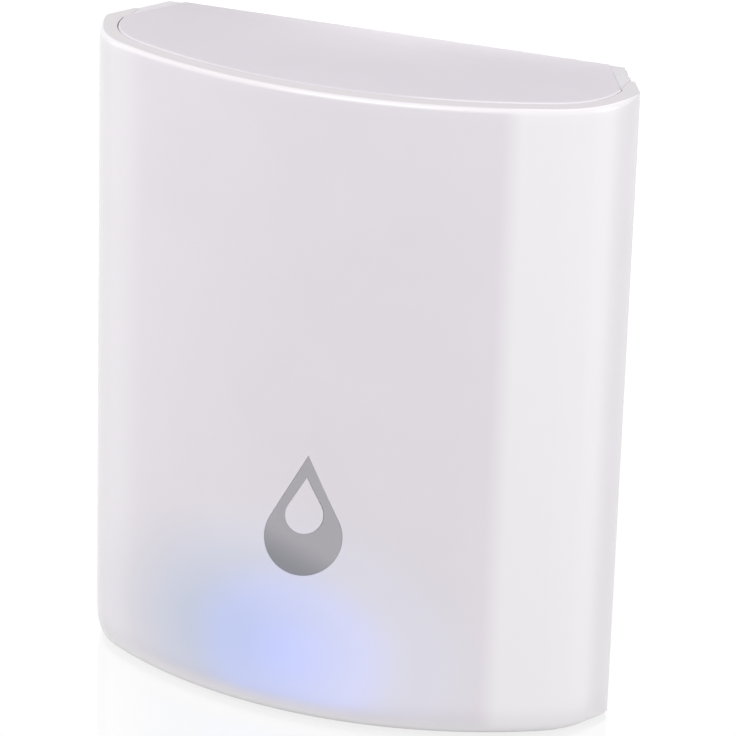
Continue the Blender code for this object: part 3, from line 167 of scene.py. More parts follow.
# Front shell
# One glossy moulding in white plastic that lets some light through: a wide curved front with
# rounded ends, rolled in at the foot, with four screw posts inside. Grooves round its top and
# foot hold the cap, the base plate and their seals, and its open back meets the rear cover.
WIDTH = 0.0600
DEPTH_FOOT = 0.02306
DEPTH_TOP = 0.0221
BACK_Y = 0.01155
CASE_FOOT_Z = 0.0005
RIM_Z = 0.0711
CORNER_RUN = 0.00385
WIDEST_FROM_BACK = 0.0075
SIDE_RADIUS = 0.0099
FOOT_ROUND_HEIGHT = 0.0033
FOOT_ROUND_INSET = 0.00075
RIM_RADIUS = 0.0006
WALL = 0.0019
SHELL_END_INSET = 0.00218
GROOVE_DEPTH = 0.0007
BASE_GROOVE_Z = (0.0013, 0.0041)
CAP_GROOVE_Z = (0.0667, 0.0695)
SEAM_FROM_BACK = 0.0042
SEAM_GAP = 0.00002
INNER_STRAIGHT = 0.0003
SIDE_STEPS = 24
FRONT_STEPS = 34
ROUND_STEPS = 8
ROUNDING_START = 0.4
CASE_SCREWS = ((-0.0220, 0.0100), (0.0220, 0.0100), (-0.0220, 0.0625), (0.0220, 0.0625))
POST_RADIUS = 0.0025
POST_HOLE_RADIUS = 0.00145
POST_FROM_BACK = 0.0065
POST_HOLE_END = 0.0128
POST_HOLE_TURN = 0.25
POST_STEPS = 32
BEYOND = 0.001
WIDEST_Y = BACK_Y - WIDEST_FROM_BACK
SHELL_WHITE = (0.775, 0.738, 0.786)
SHELL_EDGE_HIGHLIGHT = (0.81, 0.78, 0.80)
SHELL_FOOT_HIGHLIGHT = (0.94, 0.92, 0.94)


def front_arc(z):
    """Radius and centre of the wide front arc, and the angle at which it meets the side arcs."""
    foot = CASE_FOOT_Z + FOOT_ROUND_HEIGHT
    share = min((RIM_Z - z) / (RIM_Z - foot), 1.0)
    reach = DEPTH_TOP + (DEPTH_FOOT - DEPTH_TOP) * share - WIDEST_FROM_BACK
    side_x = WIDTH / 2 - SIDE_RADIUS
    radius = (side_x**2 + reach**2 - SIDE_RADIUS**2) / (2 * (reach - SIDE_RADIUS))
    return radius, WIDEST_Y - reach + radius, math.atan2(reach - radius, side_x)


def front_y(x, z):
    """Y of the outside of the front wall near its middle."""
    radius, centre_y, _ = front_arc(z)
    return centre_y - math.sqrt(radius**2 - x**2)


def half_path(z, inset, rounding=0.0):
    """Points from the widest line round the right end to the middle of the front.

    An edge's rounding is a further inset, which fades out towards the widest line."""
    radius, centre_y, meet = front_arc(z)
    side_x = WIDTH / 2 - SIDE_RADIUS
    points = []
    for i in range(SIDE_STEPS + 1):
        share = min(i / SIDE_STEPS / ROUNDING_START, 1.0)
        reach = SIDE_RADIUS - inset - rounding * share * share * (3 - 2 * share)
        angle = meet * i / SIDE_STEPS
        points.append((side_x + reach * math.cos(angle), WIDEST_Y + reach * math.sin(angle)))
    for i in range(1, FRONT_STEPS + 1):
        angle = meet + (-math.pi / 2 - meet) * i / FRONT_STEPS
        reach = radius - inset - rounding
        points.append((reach * math.cos(angle), centre_y + reach * math.sin(angle)))
    points[-1] = (0.0, points[-1][1])
    return points


def with_left(points):
    """A right-hand path and its mirror image on the left, joined in the middle."""
    return points + [(-x, y) for x, y in reversed(points[:-1])]


def corner_x(y, inset):
    """X of the slanted rear corner on the right, moved inwards by the inset."""
    slant = math.hypot(CORNER_RUN, WIDEST_FROM_BACK)
    return WIDTH / 2 - (CORNER_RUN * (y - WIDEST_Y) + inset * slant) / WIDEST_FROM_BACK


def add_skin(shape, rings):
    """A closed body through rings of equal count."""
    loops = [[shape.verts.new(point) for point in ring] for ring in rings]
    count = len(loops[0])
    for low, high in zip(loops, loops[1:]):
        for i in range(count):
            j = (i + 1) % count
            shape.faces.new((low[i], low[j], high[j], high[i]))
    shape.faces.new(list(reversed(loops[0])))
    shape.faces.new(loops[-1])


def as_piece(name, shape, sharp=35.0):
    """Puts a finished mesh into the scene, smooth except along its sharp edges."""
    bmesh.ops.remove_doubles(shape, verts=shape.verts, dist=1e-7)
    bmesh.ops.recalc_face_normals(shape, faces=shape.faces)
    data = bpy.data.meshes.new(name)
    shape.to_mesh(data)
    shape.free()
    data.shade_smooth()
    data.set_sharp_from_angle(angle=math.radians(sharp))
    piece = bpy.data.objects.new(name, data)
    scene.collection.objects.link(piece)
    return piece


def shape_with(piece, other, operation, sharp=35.0):
    """Joins another body to a piece, or cuts it out, and keeps only the result."""
    change = piece.modifiers.new(other.name, "BOOLEAN")
    change.operation = operation
    change.solver = "EXACT"
    change.object = other
    bpy.context.view_layer.update()
    result = bpy.data.meshes.new_from_object(piece.evaluated_get(bpy.context.evaluated_depsgraph_get()))
    piece.modifiers.remove(change)
    old = piece.data
    piece.data = result
    result.name = piece.name
    bpy.data.meshes.remove(old)
    bpy.data.objects.remove(other)
    result.shade_smooth()
    result.set_sharp_from_angle(angle=math.radians(sharp))


def turned_rings(profile, place, steps, turn=0.0):
    """Rings of a turned body from (radius, distance) pairs; place puts a point on its axis."""
    rings = []
    for radius, along in profile:
        angles = [2 * math.pi * (i + turn) / steps for i in range(steps)]
        rings.append([place(radius * math.cos(a), radius * math.sin(a), along) for a in angles])
    return rings


def shell_levels():
    """Height, outer rounding and inner inset of each level of the front shell."""
    heights = []
    for i in range(ROUND_STEPS + 1):
        angle = math.pi / 2 * i / ROUND_STEPS
        foot = CASE_FOOT_Z + FOOT_ROUND_HEIGHT * (1 - math.cos(angle))
        heights.append((foot, FOOT_ROUND_INSET * (1 - math.sin(angle))))
        heights.append((RIM_Z - RIM_RADIUS * (1 - math.sin(angle)), RIM_RADIUS * (1 - math.cos(angle))))
    levels = []
    for low, high in (BASE_GROOVE_Z, CAP_GROOVE_Z):
        for z, insets in ((low, (WALL, WALL - GROOVE_DEPTH)), (high, (WALL - GROOVE_DEPTH, WALL))):
            share = min((z - CASE_FOOT_Z) / FOOT_ROUND_HEIGHT, 1.0)
            rounding = FOOT_ROUND_INSET * (1 - math.sqrt(1 - (1 - share) ** 2))
            levels += [(z, rounding, inset) for inset in insets]
    for z, rounding in heights:
        grooved = any(low < z < high for low, high in (BASE_GROOVE_Z, CAP_GROOVE_Z))
        levels.append((z, rounding, WALL - GROOVE_DEPTH if grooved else WALL))
    levels.sort(key=lambda level: level[0])
    return levels


end_y = BACK_Y - SEAM_FROM_BACK - SEAM_GAP
inner_x = WIDTH / 2 - SHELL_END_INSET
rings = []
for z, rounding, inset in shell_levels():
    outer = [(corner_x(end_y, 0.0), end_y)] + with_left(half_path(z, 0.0, rounding))
    outer.append((-corner_x(end_y, 0.0), end_y))
    inner = [(inner_x, end_y), (inner_x, WIDEST_Y + INNER_STRAIGHT)] + with_left(half_path(z, inset))
    inner += [(-inner_x, WIDEST_Y + INNER_STRAIGHT), (-inner_x, end_y)]
    rings.append([(x, y, z) for x, y in list(reversed(outer)) + inner])
shape = bmesh.new()
add_skin(shape, rings)
shell = as_piece("front_moulding", shape)

posts = bmesh.new()
bores = bmesh.new()
for post_x, post_z in CASE_SCREWS:
    low, high = [], []
    for i in range(POST_STEPS):
        angle = 2 * math.pi * i / POST_STEPS
        x = post_x + POST_RADIUS * math.cos(angle)
        z = post_z + POST_RADIUS * math.sin(angle)
        side_x = WIDTH / 2 - SIDE_RADIUS
        radius, centre_y, meet = front_arc(z)
        if abs(x) > side_x + SIDE_RADIUS * math.cos(meet):
            wall_y = WIDEST_Y - math.sqrt((SIDE_RADIUS - WALL / 2) ** 2 - (abs(x) - side_x) ** 2)
        else:
            wall_y = centre_y - math.sqrt((radius - WALL / 2) ** 2 - x**2)
        low.append((x, BACK_Y - POST_FROM_BACK, z))
        high.append((x, wall_y, z))
    add_skin(posts, [low, high])
    rings = turned_rings([(POST_HOLE_RADIUS, POST_FROM_BACK - BEYOND), (POST_HOLE_RADIUS, POST_HOLE_END)],
                         lambda a, b, along: (post_x + a, BACK_Y - along, post_z + b),
                         POST_STEPS, POST_HOLE_TURN)
    add_skin(bores, rings)
shape_with(shell, as_piece("posts", posts), "UNION")
shape_with(shell, as_piece("bores", bores), "DIFFERENCE")


def new_paint(name):
    """An empty paint and its node tree."""
    made = bpy.data.materials.new(name)
    made.use_nodes = True
    made.node_tree.nodes.clear()
    return made, made.node_tree


def surface(tree, values):
    """The shader of a paint, from the values and links of its inputs."""
    shader = node(tree, "ShaderNodeBsdfPrincipled", values)
    node(tree, "ShaderNodeOutputMaterial", {"Surface": shader.outputs[0]})


def ramp(tree, factor, stops, blend="EASE"):
    """A colour that changes with a factor, from (position, colour) stops."""
    made = node(tree, "ShaderNodeValToRGB", {"Fac": factor})
    made.color_ramp.interpolation = blend
    elements = made.color_ramp.elements
    while len(elements) < len(stops):
        elements.new(0.5)
    for element, (position, colour) in zip(elements, stops):
        element.position = position
        element.color = (*colour, 1.0) if isinstance(colour, tuple) else (colour, colour, colour, 1.0)
    return made.outputs["Color"]


def spot(tree, centre, reach):
    """Distance from a centre, 1 at the reach; an axis with no reach doesn't count."""
    here = node(tree, "ShaderNodeTexCoord").outputs["Object"]
    moved = node(tree, "ShaderNodeVectorMath", {0: here, 1: centre}, operation="SUBTRACT").outputs[0]
    sized = node(tree, "ShaderNodeVectorMath", {0: moved, 1: tuple(1 / r if r else 0.0 for r in reach)},
                 operation="MULTIPLY").outputs[0]
    return node(tree, "ShaderNodeVectorMath", {0: sized}, operation="LENGTH").outputs["Value"]


def clouds(tree, size, detail=3.0, stretch=(1.0, 1.0, 1.0)):
    """Noise with features of about this size in metres, drawn out along an axis by its stretch."""
    here = node(tree, "ShaderNodeTexCoord").outputs["Object"]
    drawn = node(tree, "ShaderNodeVectorMath", {0: here, 1: tuple(1 / s for s in stretch)},
                 operation="MULTIPLY").outputs[0]
    noise = node(tree, "ShaderNodeTexNoise", {"Vector": drawn, "Scale": 1 / size, "Detail": detail})
    return noise.outputs["Fac"]


def mottled(tree, colour, spread, size, stretch=(1.0, 1.0, 1.0)):
    """A colour that varies a little over the surface."""
    low = tuple(c * (1 - spread) for c in colour)
    high = tuple(min(c * (1 + spread), 1.0) for c in colour)
    return ramp(tree, clouds(tree, size, stretch=stretch), [(0.25, low), (0.75, high)])


def mixed(tree, factor, first, second):
    """A colour between two, each given as a value or a link."""
    made = node(tree, "ShaderNodeMix", data_type="RGBA")
    for value, socket in ((factor, made.inputs[0]), (first, made.inputs[6]), (second, made.inputs[7])):
        if isinstance(value, bpy.types.NodeSocket):
            tree.links.new(value, socket)
        else:
            socket.default_value = (*value, 1.0)
    return made.outputs[2]


def relief(tree, height, depth, eased=0.0):
    """Surface relief of this depth in metres, over edges that are eased by a radius."""
    values = {"Height": height, "Strength": 1.0, "Distance": depth}
    if eased:
        values["Normal"] = node(tree, "ShaderNodeBevel", {"Radius": eased}, samples=6).outputs[0]
    return node(tree, "ShaderNodeBump", values).outputs[0]


def rise(tree, value, between, to=(0.0, 1.0), blend="SMOOTHSTEP"):
    """A value brought from one range to another, and held at its ends."""
    return node(tree, "ShaderNodeMapRange", {
        "Value": value, "From Min": between[0], "From Max": between[1], "To Min": to[0], "To Max": to[1],
    }, interpolation_type=blend).outputs[0]


def times(tree, first, second):
    """The product of two factors."""
    return node(tree, "ShaderNodeMath", {0: first, 1: second}, operation="MULTIPLY").outputs[0]


def facing(tree, direction):
    """How far the surface faces in a direction of the object, from -1 to 1."""
    normal = node(tree, "ShaderNodeTexCoord").outputs["Normal"]
    product = node(tree, "ShaderNodeVectorMath", {0: normal, 1: direction}, operation="DOT_PRODUCT")
    return product.outputs["Value"]


def painted_edge_highlight(tree, along):
    """How strongly a highlight is painted on the rounded upper edge, from stops along the width of the box.
    """
    rounded = ramp(tree, facing(tree, (0.0, 0.0, 1.0)), [(0.05, 0.0), (0.60, 1.0), (0.70, 1.0), (0.97, 0.0)])
    here = node(tree, "ShaderNodeTexCoord").outputs["Object"]
    across = node(tree, "ShaderNodeSeparateXYZ", {0: here}).outputs["X"]
    share = rise(tree, across, (-WIDTH / 2, WIDTH / 2), blend="LINEAR")
    return times(tree, rounded, ramp(tree, share, along))


# The wall's colour, with painted light: painted highlights on its ends, its rounded upper edge and its
# foot, a painted shade on the flat rim, and near the foot a painted glow of the lamp behind it, round
# which a painted shade makes the wall a little darker.
GLOW_CENTRE = (-0.0010, 0.0, 0.0078)
GLOW_REACH = (0.0216, 0.0, 0.0184)
GLOW_FOOT = (0.0010, 0.0032)
GLOW_SHADE_CENTRE = (-0.0082, 0.0, 0.0085)
GLOW_SHADE_REACH = (0.0208, 0.0, 0.0160)
RIM_SHADE = (0.640, 0.608, 0.630)
LEFT_END_FROM = (-0.0205, -0.0247)
LEFT_END_ABOVE = (0.0040, 0.0180)
LEFT_END_SHARES = (0.35, 0.50)
RIGHT_END_FROM = (0.0189, 0.0213)
END_HIGHLIGHT = (0.890, 0.865, 0.895)
GLOW_SHADE_COLOUR = (0.565, 0.592, 0.690)

paint, tree = new_paint("pearl white moulding")
body = mottled(tree, SHELL_WHITE, 0.012, 0.012)
places = node(tree, "ShaderNodeSeparateXYZ", {0: node(tree, "ShaderNodeTexCoord").outputs["Object"]})
across, up = places.outputs["X"], places.outputs["Z"]
# Painted highlight on both rounded ends. It fades out where the right end faces straight sideways.
above_foot = rise(tree, up, LEFT_END_ABOVE, LEFT_END_SHARES, "LINEAR")
left_end = times(tree, rise(tree, across, LEFT_END_FROM), above_foot)
sideways = ramp(tree, facing(tree, (1.0, 0.0, 0.0)), [(0.88, 1.0), (0.99, 0.30)])
right_end = times(tree, rise(tree, across, RIGHT_END_FROM), sideways)
ends = node(tree, "ShaderNodeMath", {0: left_end, 1: right_end}, operation="ADD").outputs[0]
body = mixed(tree, ends, body, END_HIGHLIGHT)
# Painted shade: the flat top of the rim gets a darker colour than the rest of the wall.
level_rim = ramp(tree, facing(tree, (0.0, 0.0, 1.0)), [(0.90, 0.0), (0.98, 1.0)])
body = mixed(tree, level_rim, body, RIM_SHADE)
lit = rise(tree, up, GLOW_FOOT)
# Painted shade round the glow: the wall is made bluish and darker there, fading in above the foot.
glow_shade = ramp(tree, spot(tree, GLOW_SHADE_CENTRE, GLOW_SHADE_REACH), [(0.0, 1.0), (1.0, 0.0)])
body = mixed(tree, times(tree, glow_shade, lit), body, GLOW_SHADE_COLOUR)
# Painted highlight along the shell's rounded upper edge, fading out at the left end.
edge_highlight = painted_edge_highlight(tree, [(0.0, 0.0), (0.045, 0.1), (0.08, 1.0), (1.0, 1.0)])
body = mixed(tree, edge_highlight, body, SHELL_EDGE_HIGHLIGHT)
# Painted highlight: where the rounded foot faces down, it is made much paler.
under = ramp(tree, facing(tree, (0.0, 0.0, -1.0)), [(0.08, 0.0), (0.38, 1.0)])
body = mixed(tree, under, body, SHELL_FOOT_HIGHLIGHT)
# Painted glow: emission on the wall itself stands in for the blue lamp's light shining through it.
glow = ramp(tree, spot(tree, GLOW_CENTRE, GLOW_REACH), [
    (0.0, (0.06, 0.24, 1.32)), (0.35, (0.04, 0.19, 0.90)), (0.65, (0.00, 0.08, 0.22)), (1.0, (0.0, 0.0, 0.0)),
])
glow = mixed(tree, lit, (0.0, 0.0, 0.0), glow)
surface(tree, {
    "Base Color": body,
    "Roughness": 0.22,
    "IOR": 1.49,
    "Emission Color": glow,
    "Emission Strength": 0.26,
    "Normal": relief(tree, clouds(tree, 0.0008), 0.0000012),
})
shell.data.materials.append(paint)
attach(shell, "root")
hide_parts("front_shell")


# Silver drop
# A thin drop of satin silver foil with a smaller drop punched out of it, pressed into a recess
# of its own shape in the front wall so that it lies flush.
DROP_RADIUS = 0.00445
DROP_Z = 0.0216
DROP_POINT = 0.0094
DROP_SLANT = (0.045, 0.10)
HOLE_RADIUS = 0.00220
HOLE_Z = 0.0242
HOLE_POINT = 0.0044
DROP_THICKNESS = 0.0004
RECESS_GAP = 0.00003
ARC_STEPS = 60
SHADE_DIRECTION = (0.35, 0.0, 1.0)
SILVER_LIT_TOP = (0.380, 0.366, 0.392)
SILVER_SHADED_FOOT = (0.255, 0.258, 0.286)


def drop_outline(radius, point, z, spread=0.0):
    """A circle with two straight sides that touch it and meet above it, slanted a little."""
    lean = math.asin(radius / point)
    reach = radius + spread
    points = [(0.0, z + point + spread / math.sin(lean))]
    turn = math.pi + 2 * lean
    for i in range(ARC_STEPS + 1):
        angle = lean - turn * i / ARC_STEPS
        points.append((reach * math.cos(angle), z + reach * math.sin(angle)))
    sideways, upwards = DROP_SLANT
    return [(x + sideways * (z - DROP_Z), z + upwards * x) for x, z in points]


def add_drop(shape, outline, front, back):
    """A plate of this outline between two depths behind the surface of the front wall."""
    add_skin(shape, [[(x, front_y(x, z) + depth, z) for x, z in outline] for depth in (front, back)])


outer = (DROP_RADIUS, DROP_POINT, DROP_Z)
hole = (HOLE_RADIUS, HOLE_POINT, HOLE_Z)
recess = bmesh.new()
add_drop(recess, drop_outline(*outer, RECESS_GAP), -BEYOND, DROP_THICKNESS + RECESS_GAP)
island = bmesh.new()
add_drop(island, drop_outline(*hole, -RECESS_GAP), -2 * BEYOND, DROP_THICKNESS + BEYOND)
recess = as_piece("recess", recess)
shape_with(recess, as_piece("island", island), "DIFFERENCE")
shape_with(shell, recess, "DIFFERENCE")
foil = bmesh.new()
add_drop(foil, drop_outline(*outer), 0.0, DROP_THICKNESS)
punch = bmesh.new()
add_drop(punch, drop_outline(*hole), -BEYOND, DROP_THICKNESS + BEYOND)
drop = as_piece("silver_drop", foil)
shape_with(drop, as_piece("punch", punch), "DIFFERENCE")

paint, tree = new_paint("satin silver foil")
# Painted shade: the foil is lighter towards its top and darker towards its foot.
here = node(tree, "ShaderNodeTexCoord").outputs["Object"]
height = node(tree, "ShaderNodeVectorMath", {0: here, 1: SHADE_DIRECTION}, operation="DOT_PRODUCT")
share = rise(tree, height.outputs["Value"], (DROP_Z - DROP_RADIUS, DROP_Z), blend="LINEAR")
fine = clouds(tree, 0.00012, stretch=(8.0, 1.0, 1.0))
surface(tree, {
    "Base Color": ramp(tree, share, [(0.0, SILVER_SHADED_FOOT), (1.0, SILVER_LIT_TOP)]),
    "Metallic": 0.85,
    "Roughness": ramp(tree, fine, [(0.3, 0.30), (0.7, 0.42)]),
    "Normal": relief(tree, fine, 0.0000015),
})
drop.data.materials.append(paint)
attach(drop, "root")
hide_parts("drop_emblem")


# Rear cover
# The white back half of the case: a flat back with two slanted corners, the cell bay, the screw
# tubes and the lips that the front shell slides over. One moulding with a fine matt grain.
REAR_WHITE = (0.665, 0.640, 0.675)


def dress(paint, *names):
    """Gives CAD nodes a paint in place of their plain colour."""
    for name in names:
        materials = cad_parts[name].data.materials
        materials.clear()
        materials.append(paint)


def moulded(name, colour, roughness, grain_size, grain_depth, eased=0.0002):
    """Moulded plastic: a slightly uneven colour, a fine grain and eased edges."""
    paint, tree = new_paint(name)
    surface(tree, {
        "Base Color": mottled(tree, colour, 0.02, 0.010),
        "Roughness": roughness,
        "IOR": 1.49,
        "Normal": relief(tree, clouds(tree, grain_size), grain_depth, eased),
    })
    return paint


dress(moulded("white rear moulding", REAR_WHITE, 0.36, 0.0004, 0.000003), "rear_cover")


# Top cap
# A flat white plate with a softly rounded upper edge, which stands just proud of the rim. Its
# flange sits in the front shell's groove, and two lugs under it hook behind the rear cover.
CAP_UNDER_Z = 0.0680
CAP_FLANGE_TOP_Z = 0.0692
CAP_TOP_Z = 0.07125
CAP_FLANGE_INSET = 0.0015
CAP_INSET = 0.00200
CAP_REAR_INSET = 0.00190
CAP_EDGE = (0.00042, 0.00026)
CAP_EDGE_STEPS = 6
CAP_REAR_SHARE = 0.15
CAP_LUG = (0.0050, 0.0015, 0.0040)
CAP_LUG_X = 0.0150
CAP_LUG_OVERLAP = 0.0005
BACK_WALL = 0.0020
CLEARANCE = 0.0003
CAP_WHITE = (0.622, 0.578, 0.630)
CAP_EDGE_HIGHLIGHT = (0.80, 0.77, 0.80)


def plate_ring(z, inset, rear_inset, back_inset):
    """One level of a plate that fits inside the front shell and the rear cover."""
    start_y = WIDEST_Y - CLEARANCE
    path = [(x, y) for x, y in half_path(z, inset) if y < start_y - CLEARANCE]
    path.insert(0, (WIDTH / 2 - inset, start_y - CLEARANCE))
    back_y = BACK_Y - back_inset
    rear = [(corner_x(back_y, rear_inset), back_y), (corner_x(start_y, rear_inset), start_y)]
    half = rear + path
    return [(x, y, z) for x, y in reversed(half + [(-x, y) for x, y in reversed(half[:-1])])]


rings = [
    plate_ring(CAP_UNDER_Z, CAP_FLANGE_INSET, CAP_REAR_INSET, 0.0),
    plate_ring(CAP_FLANGE_TOP_Z, CAP_FLANGE_INSET, CAP_REAR_INSET, 0.0),
    plate_ring(CAP_FLANGE_TOP_Z, CAP_INSET, CAP_REAR_INSET, 0.0),
]
for i in range(CAP_EDGE_STEPS + 1):
    angle = math.pi / 2 * i / CAP_EDGE_STEPS
    inset = CAP_EDGE[0] * (1 - math.cos(angle))
    z = CAP_TOP_Z - CAP_EDGE[1] * (1 - math.sin(angle))
    rings.append(plate_ring(z, CAP_INSET + inset, CAP_REAR_INSET + CAP_REAR_SHARE * inset, inset))
shape = bmesh.new()
add_skin(shape, rings)
cap = as_piece("cap_plate", shape)
lugs = bmesh.new()
for side in (-1, 1):
    wide, thick, long = CAP_LUG
    x, y = side * CAP_LUG_X, BACK_Y - BACK_WALL - CLEARANCE
    corners = [(x - wide / 2, y), (x + wide / 2, y), (x + wide / 2, y - thick), (x - wide / 2, y - thick)]
    add_skin(lugs, [[(a, b, z) for a, b in corners]
                    for z in (CAP_UNDER_Z - long, CAP_UNDER_Z + CAP_LUG_OVERLAP)])
shape_with(cap, as_piece("lugs", lugs), "UNION")

paint, tree = new_paint("satin white moulding")
# Painted highlight along the cap's rounded upper edge. Its strength changes with the stops along the width.
edge = painted_edge_highlight(tree, [
    (0.05, 0.7), (0.20, 0.8), (0.32, 0.4), (0.60, 0.2), (0.70, 0.8), (0.85, 1.0), (1.0, 0.8),
])
surface(tree, {
    "Base Color": mixed(tree, edge, mottled(tree, CAP_WHITE, 0.010, 0.010), CAP_EDGE_HIGHLIGHT),
    "Roughness": 0.42,
    "IOR": 1.49,
    "Normal": relief(tree, clouds(tree, 0.0003), 0.0000015),
})
cap.data.materials.append(paint)
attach(cap, "root")
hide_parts("top_cap")


# Base plate
# A matt white plate in the foot of the case, with a recess for each foot and a hole for each
# water probe. A flange round it sits in the front shell's lower groove.
BASE_WHITE = (0.690, 0.672, 0.705)

dress(moulded("white base moulding", BASE_WHITE, 0.48, 0.0003, 0.000004), "base_plate")


# Seals
# Two flat strips of soft grey silicone, cut to the outline of the case, under the cap and above
# the base plate.
SILICONE_GREY = (0.33, 0.33, 0.35)

paint, tree = new_paint("grey silicone")
surface(tree, {
    "Base Color": mottled(tree, SILICONE_GREY, 0.06, 0.003),
    "Roughness": 0.62,
    "Subsurface Weight": 0.15,
    "Subsurface Scale": 0.001,
    "Normal": relief(tree, clouds(tree, 0.0002), 0.000004, 0.0001),
})
dress(paint, "cap_seal", "base_seal")


# Battery door
# A flat lid over the cells, moulded in white plastic. Two hooks at its foot and one screw in a
# round ear at its top hold it in the rear cover.
DOOR_WHITE = (0.715, 0.690, 0.730)

dress(moulded("white door moulding", DOOR_WHITE, 0.38, 0.0004, 0.000003, 0.00025), "battery_door")


# Screws
# Nine zinc-plated steel screws with round heads and hexagon sockets: four hold the case halves
# together, four hold the circuit board and one holds the battery door.
ZINC = (0.30, 0.31, 0.335)
PATCH_SIZE = 6


def metal(name, colour, roughness, grain_size, grain_depth, stretch=(1.0, 1.0, 1.0), eased=0.00008):
    """Bare or plated metal: brightness and gloss both vary along its working marks."""
    paint, tree = new_paint(name)
    marks = clouds(tree, grain_size, 4.0, stretch)
    surface(tree, {
        "Base Color": mottled(tree, colour, 0.07, PATCH_SIZE * grain_size, stretch),
        "Metallic": 1.0,
        "Roughness": ramp(tree, marks, [(0.3, roughness * 0.8), (0.7, roughness * 1.25)]),
        "Normal": relief(tree, marks, grain_depth, eased),
    })
    return paint


SCREWS = [f"{place}_screw_{i}" for place in ("case", "board") for i in (1, 2, 3, 4)] + ["door_screw"]
dress(metal("zinc plate", ZINC, 0.40, 0.0002, 0.000003), *SCREWS)


# Water probes
# Two turned studs of stainless steel whose flat heads show under the base. The current that
# passes between them through spilt water sets off the alarm.
STAINLESS = (0.62, 0.62, 0.63)
PROBE_RINGS = 0.00018

paint, tree = new_paint("turned stainless steel")
here = node(tree, "ShaderNodeTexCoord").outputs["Object"]
low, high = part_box("water_probe_1")
centre = (low + high) / 2
places = node(tree, "ShaderNodeSeparateXYZ", {0: here})
from_middle = node(tree, "ShaderNodeMath", {0: places.outputs["X"]}, operation="ABSOLUTE").outputs[0]
across = node(tree, "ShaderNodeMath", {0: from_middle, 1: abs(centre.x)}, operation="SUBTRACT").outputs[0]
along = node(tree, "ShaderNodeMath", {0: places.outputs["Y"], 1: centre.y}, operation="SUBTRACT").outputs[0]
flat = node(tree, "ShaderNodeCombineXYZ", {0: across, 1: along}).outputs[0]
radius = node(tree, "ShaderNodeVectorMath", {0: flat}, operation="LENGTH").outputs["Value"]
turns = times(tree, radius, 2 * math.pi / PROBE_RINGS)
marks = node(tree, "ShaderNodeMath", {0: turns}, operation="SINE").outputs[0]
surface(tree, {
    "Base Color": mottled(tree, STAINLESS, 0.05, 0.001),
    "Metallic": 1.0,
    "Roughness": ramp(tree, clouds(tree, 0.0005), [(0.3, 0.18), (0.7, 0.30)]),
    "Normal": relief(tree, marks, 0.000002, 0.0001),
})
dress(paint, "water_probe_1", "water_probe_2")


# Rubber feet
# Four round pads of black rubber, glued into the recesses of the base plate. They stand half a
# millimetre proud, so the probe heads hang just clear of the floor.
RUBBER = (0.028, 0.028, 0.030)

paint, tree = new_paint("black rubber")
speckle = clouds(tree, 0.00025, 5.0)
surface(tree, {
    "Base Color": mottled(tree, RUBBER, 0.25, 0.0012),
    "Roughness": ramp(tree, speckle, [(0.3, 0.72), (0.7, 0.92)]),
    "Normal": relief(tree, speckle, 0.00001, 0.0002),
})
dress(paint, "foot_pad_1", "foot_pad_2", "foot_pad_3", "foot_pad_4")


# Light guide and lamp
# A clear block with frosted faces, which spreads the light of a small blue lamp on the circuit
# board over the front wall.
GUIDE_CLEAR = (0.86, 0.90, 0.98)
LAMP_BODY = (0.55, 0.62, 0.90)

paint, tree = new_paint("frosted clear plastic")
frost = clouds(tree, 0.0003, 4.0)
surface(tree, {
    "Base Color": mottled(tree, GUIDE_CLEAR, 0.02, 0.002),
    "Roughness": ramp(tree, frost, [(0.3, 0.22), (0.7, 0.38)]),
    "IOR": 1.49,
    "Transmission Weight": 0.9,
    "Normal": relief(tree, frost, 0.000004),
})
dress(paint, "light_guide")

paint, tree = new_paint("blue lamp")
low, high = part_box("status_led")
lens = ((low.x + high.x) / 2, 0.0, (low.z + high.z) / 2)
surface(tree, {
    "Base Color": mottled(tree, LAMP_BODY, 0.05, 0.0008),
    "Roughness": 0.25,
    "Emission Color": ramp(tree, spot(tree, lens, (0.0014, 0.0, 0.0012)),
                           [(0.0, (0.25, 0.45, 1.0)), (0.7, (0.05, 0.12, 0.6)), (1.0, (0.0, 0.0, 0.0))]),
    "Emission Strength": 2.0,
})
dress(paint, "status_led")


# Circuit boards
# Glass-fibre boards under green lacquer, with copper tracks that show through as a lighter green
# and gilt solder pads. The large one carries the electronics, the small one the two probes.
LACQUER = (0.016, 0.150, 0.060)
TRACK = (0.045, 0.270, 0.110)
GILT = (0.78, 0.58, 0.24)
TRACK_PITCH = 0.0022
PAD_PITCH = 0.0045


def circuit(name, turn):
    """A lacquered board; the turn lays the tracks' pattern in the board's own plane."""
    paint, tree = new_paint(name)
    here = node(tree, "ShaderNodeTexCoord").outputs["Object"]
    plane = node(tree, "ShaderNodeMapping", {"Vector": here, "Rotation": turn}).outputs[0]
    bricks = node(tree, "ShaderNodeTexBrick", {
        "Vector": plane, "Scale": 1 / TRACK_PITCH, "Mortar Size": 0.07, "Mortar Smooth": 0.2,
        "Brick Width": 2.7, "Row Height": 0.8,
    })
    pads = node(tree, "ShaderNodeTexVoronoi", {
        "Vector": plane, "Scale": 1 / PAD_PITCH}, voronoi_dimensions="2D")
    pad = ramp(tree, pads.outputs["Distance"], [(0.09, 1.0), (0.11, 0.0)], "LINEAR")
    bare = mottled(tree, LACQUER, 0.10, 0.004)
    tracks = mixed(tree, bricks.outputs["Fac"], bare, TRACK)
    surface(tree, {
        "Base Color": mixed(tree, pad, tracks, GILT),
        "Metallic": pad,
        "Roughness": ramp(tree, clouds(tree, 0.0006), [(0.3, 0.32), (0.7, 0.45)]),
        "Coat Weight": 0.3,
        "Coat Roughness": 0.15,
        "Normal": relief(tree, bricks.outputs["Fac"], 0.00003, 0.00008),
    })
    return paint


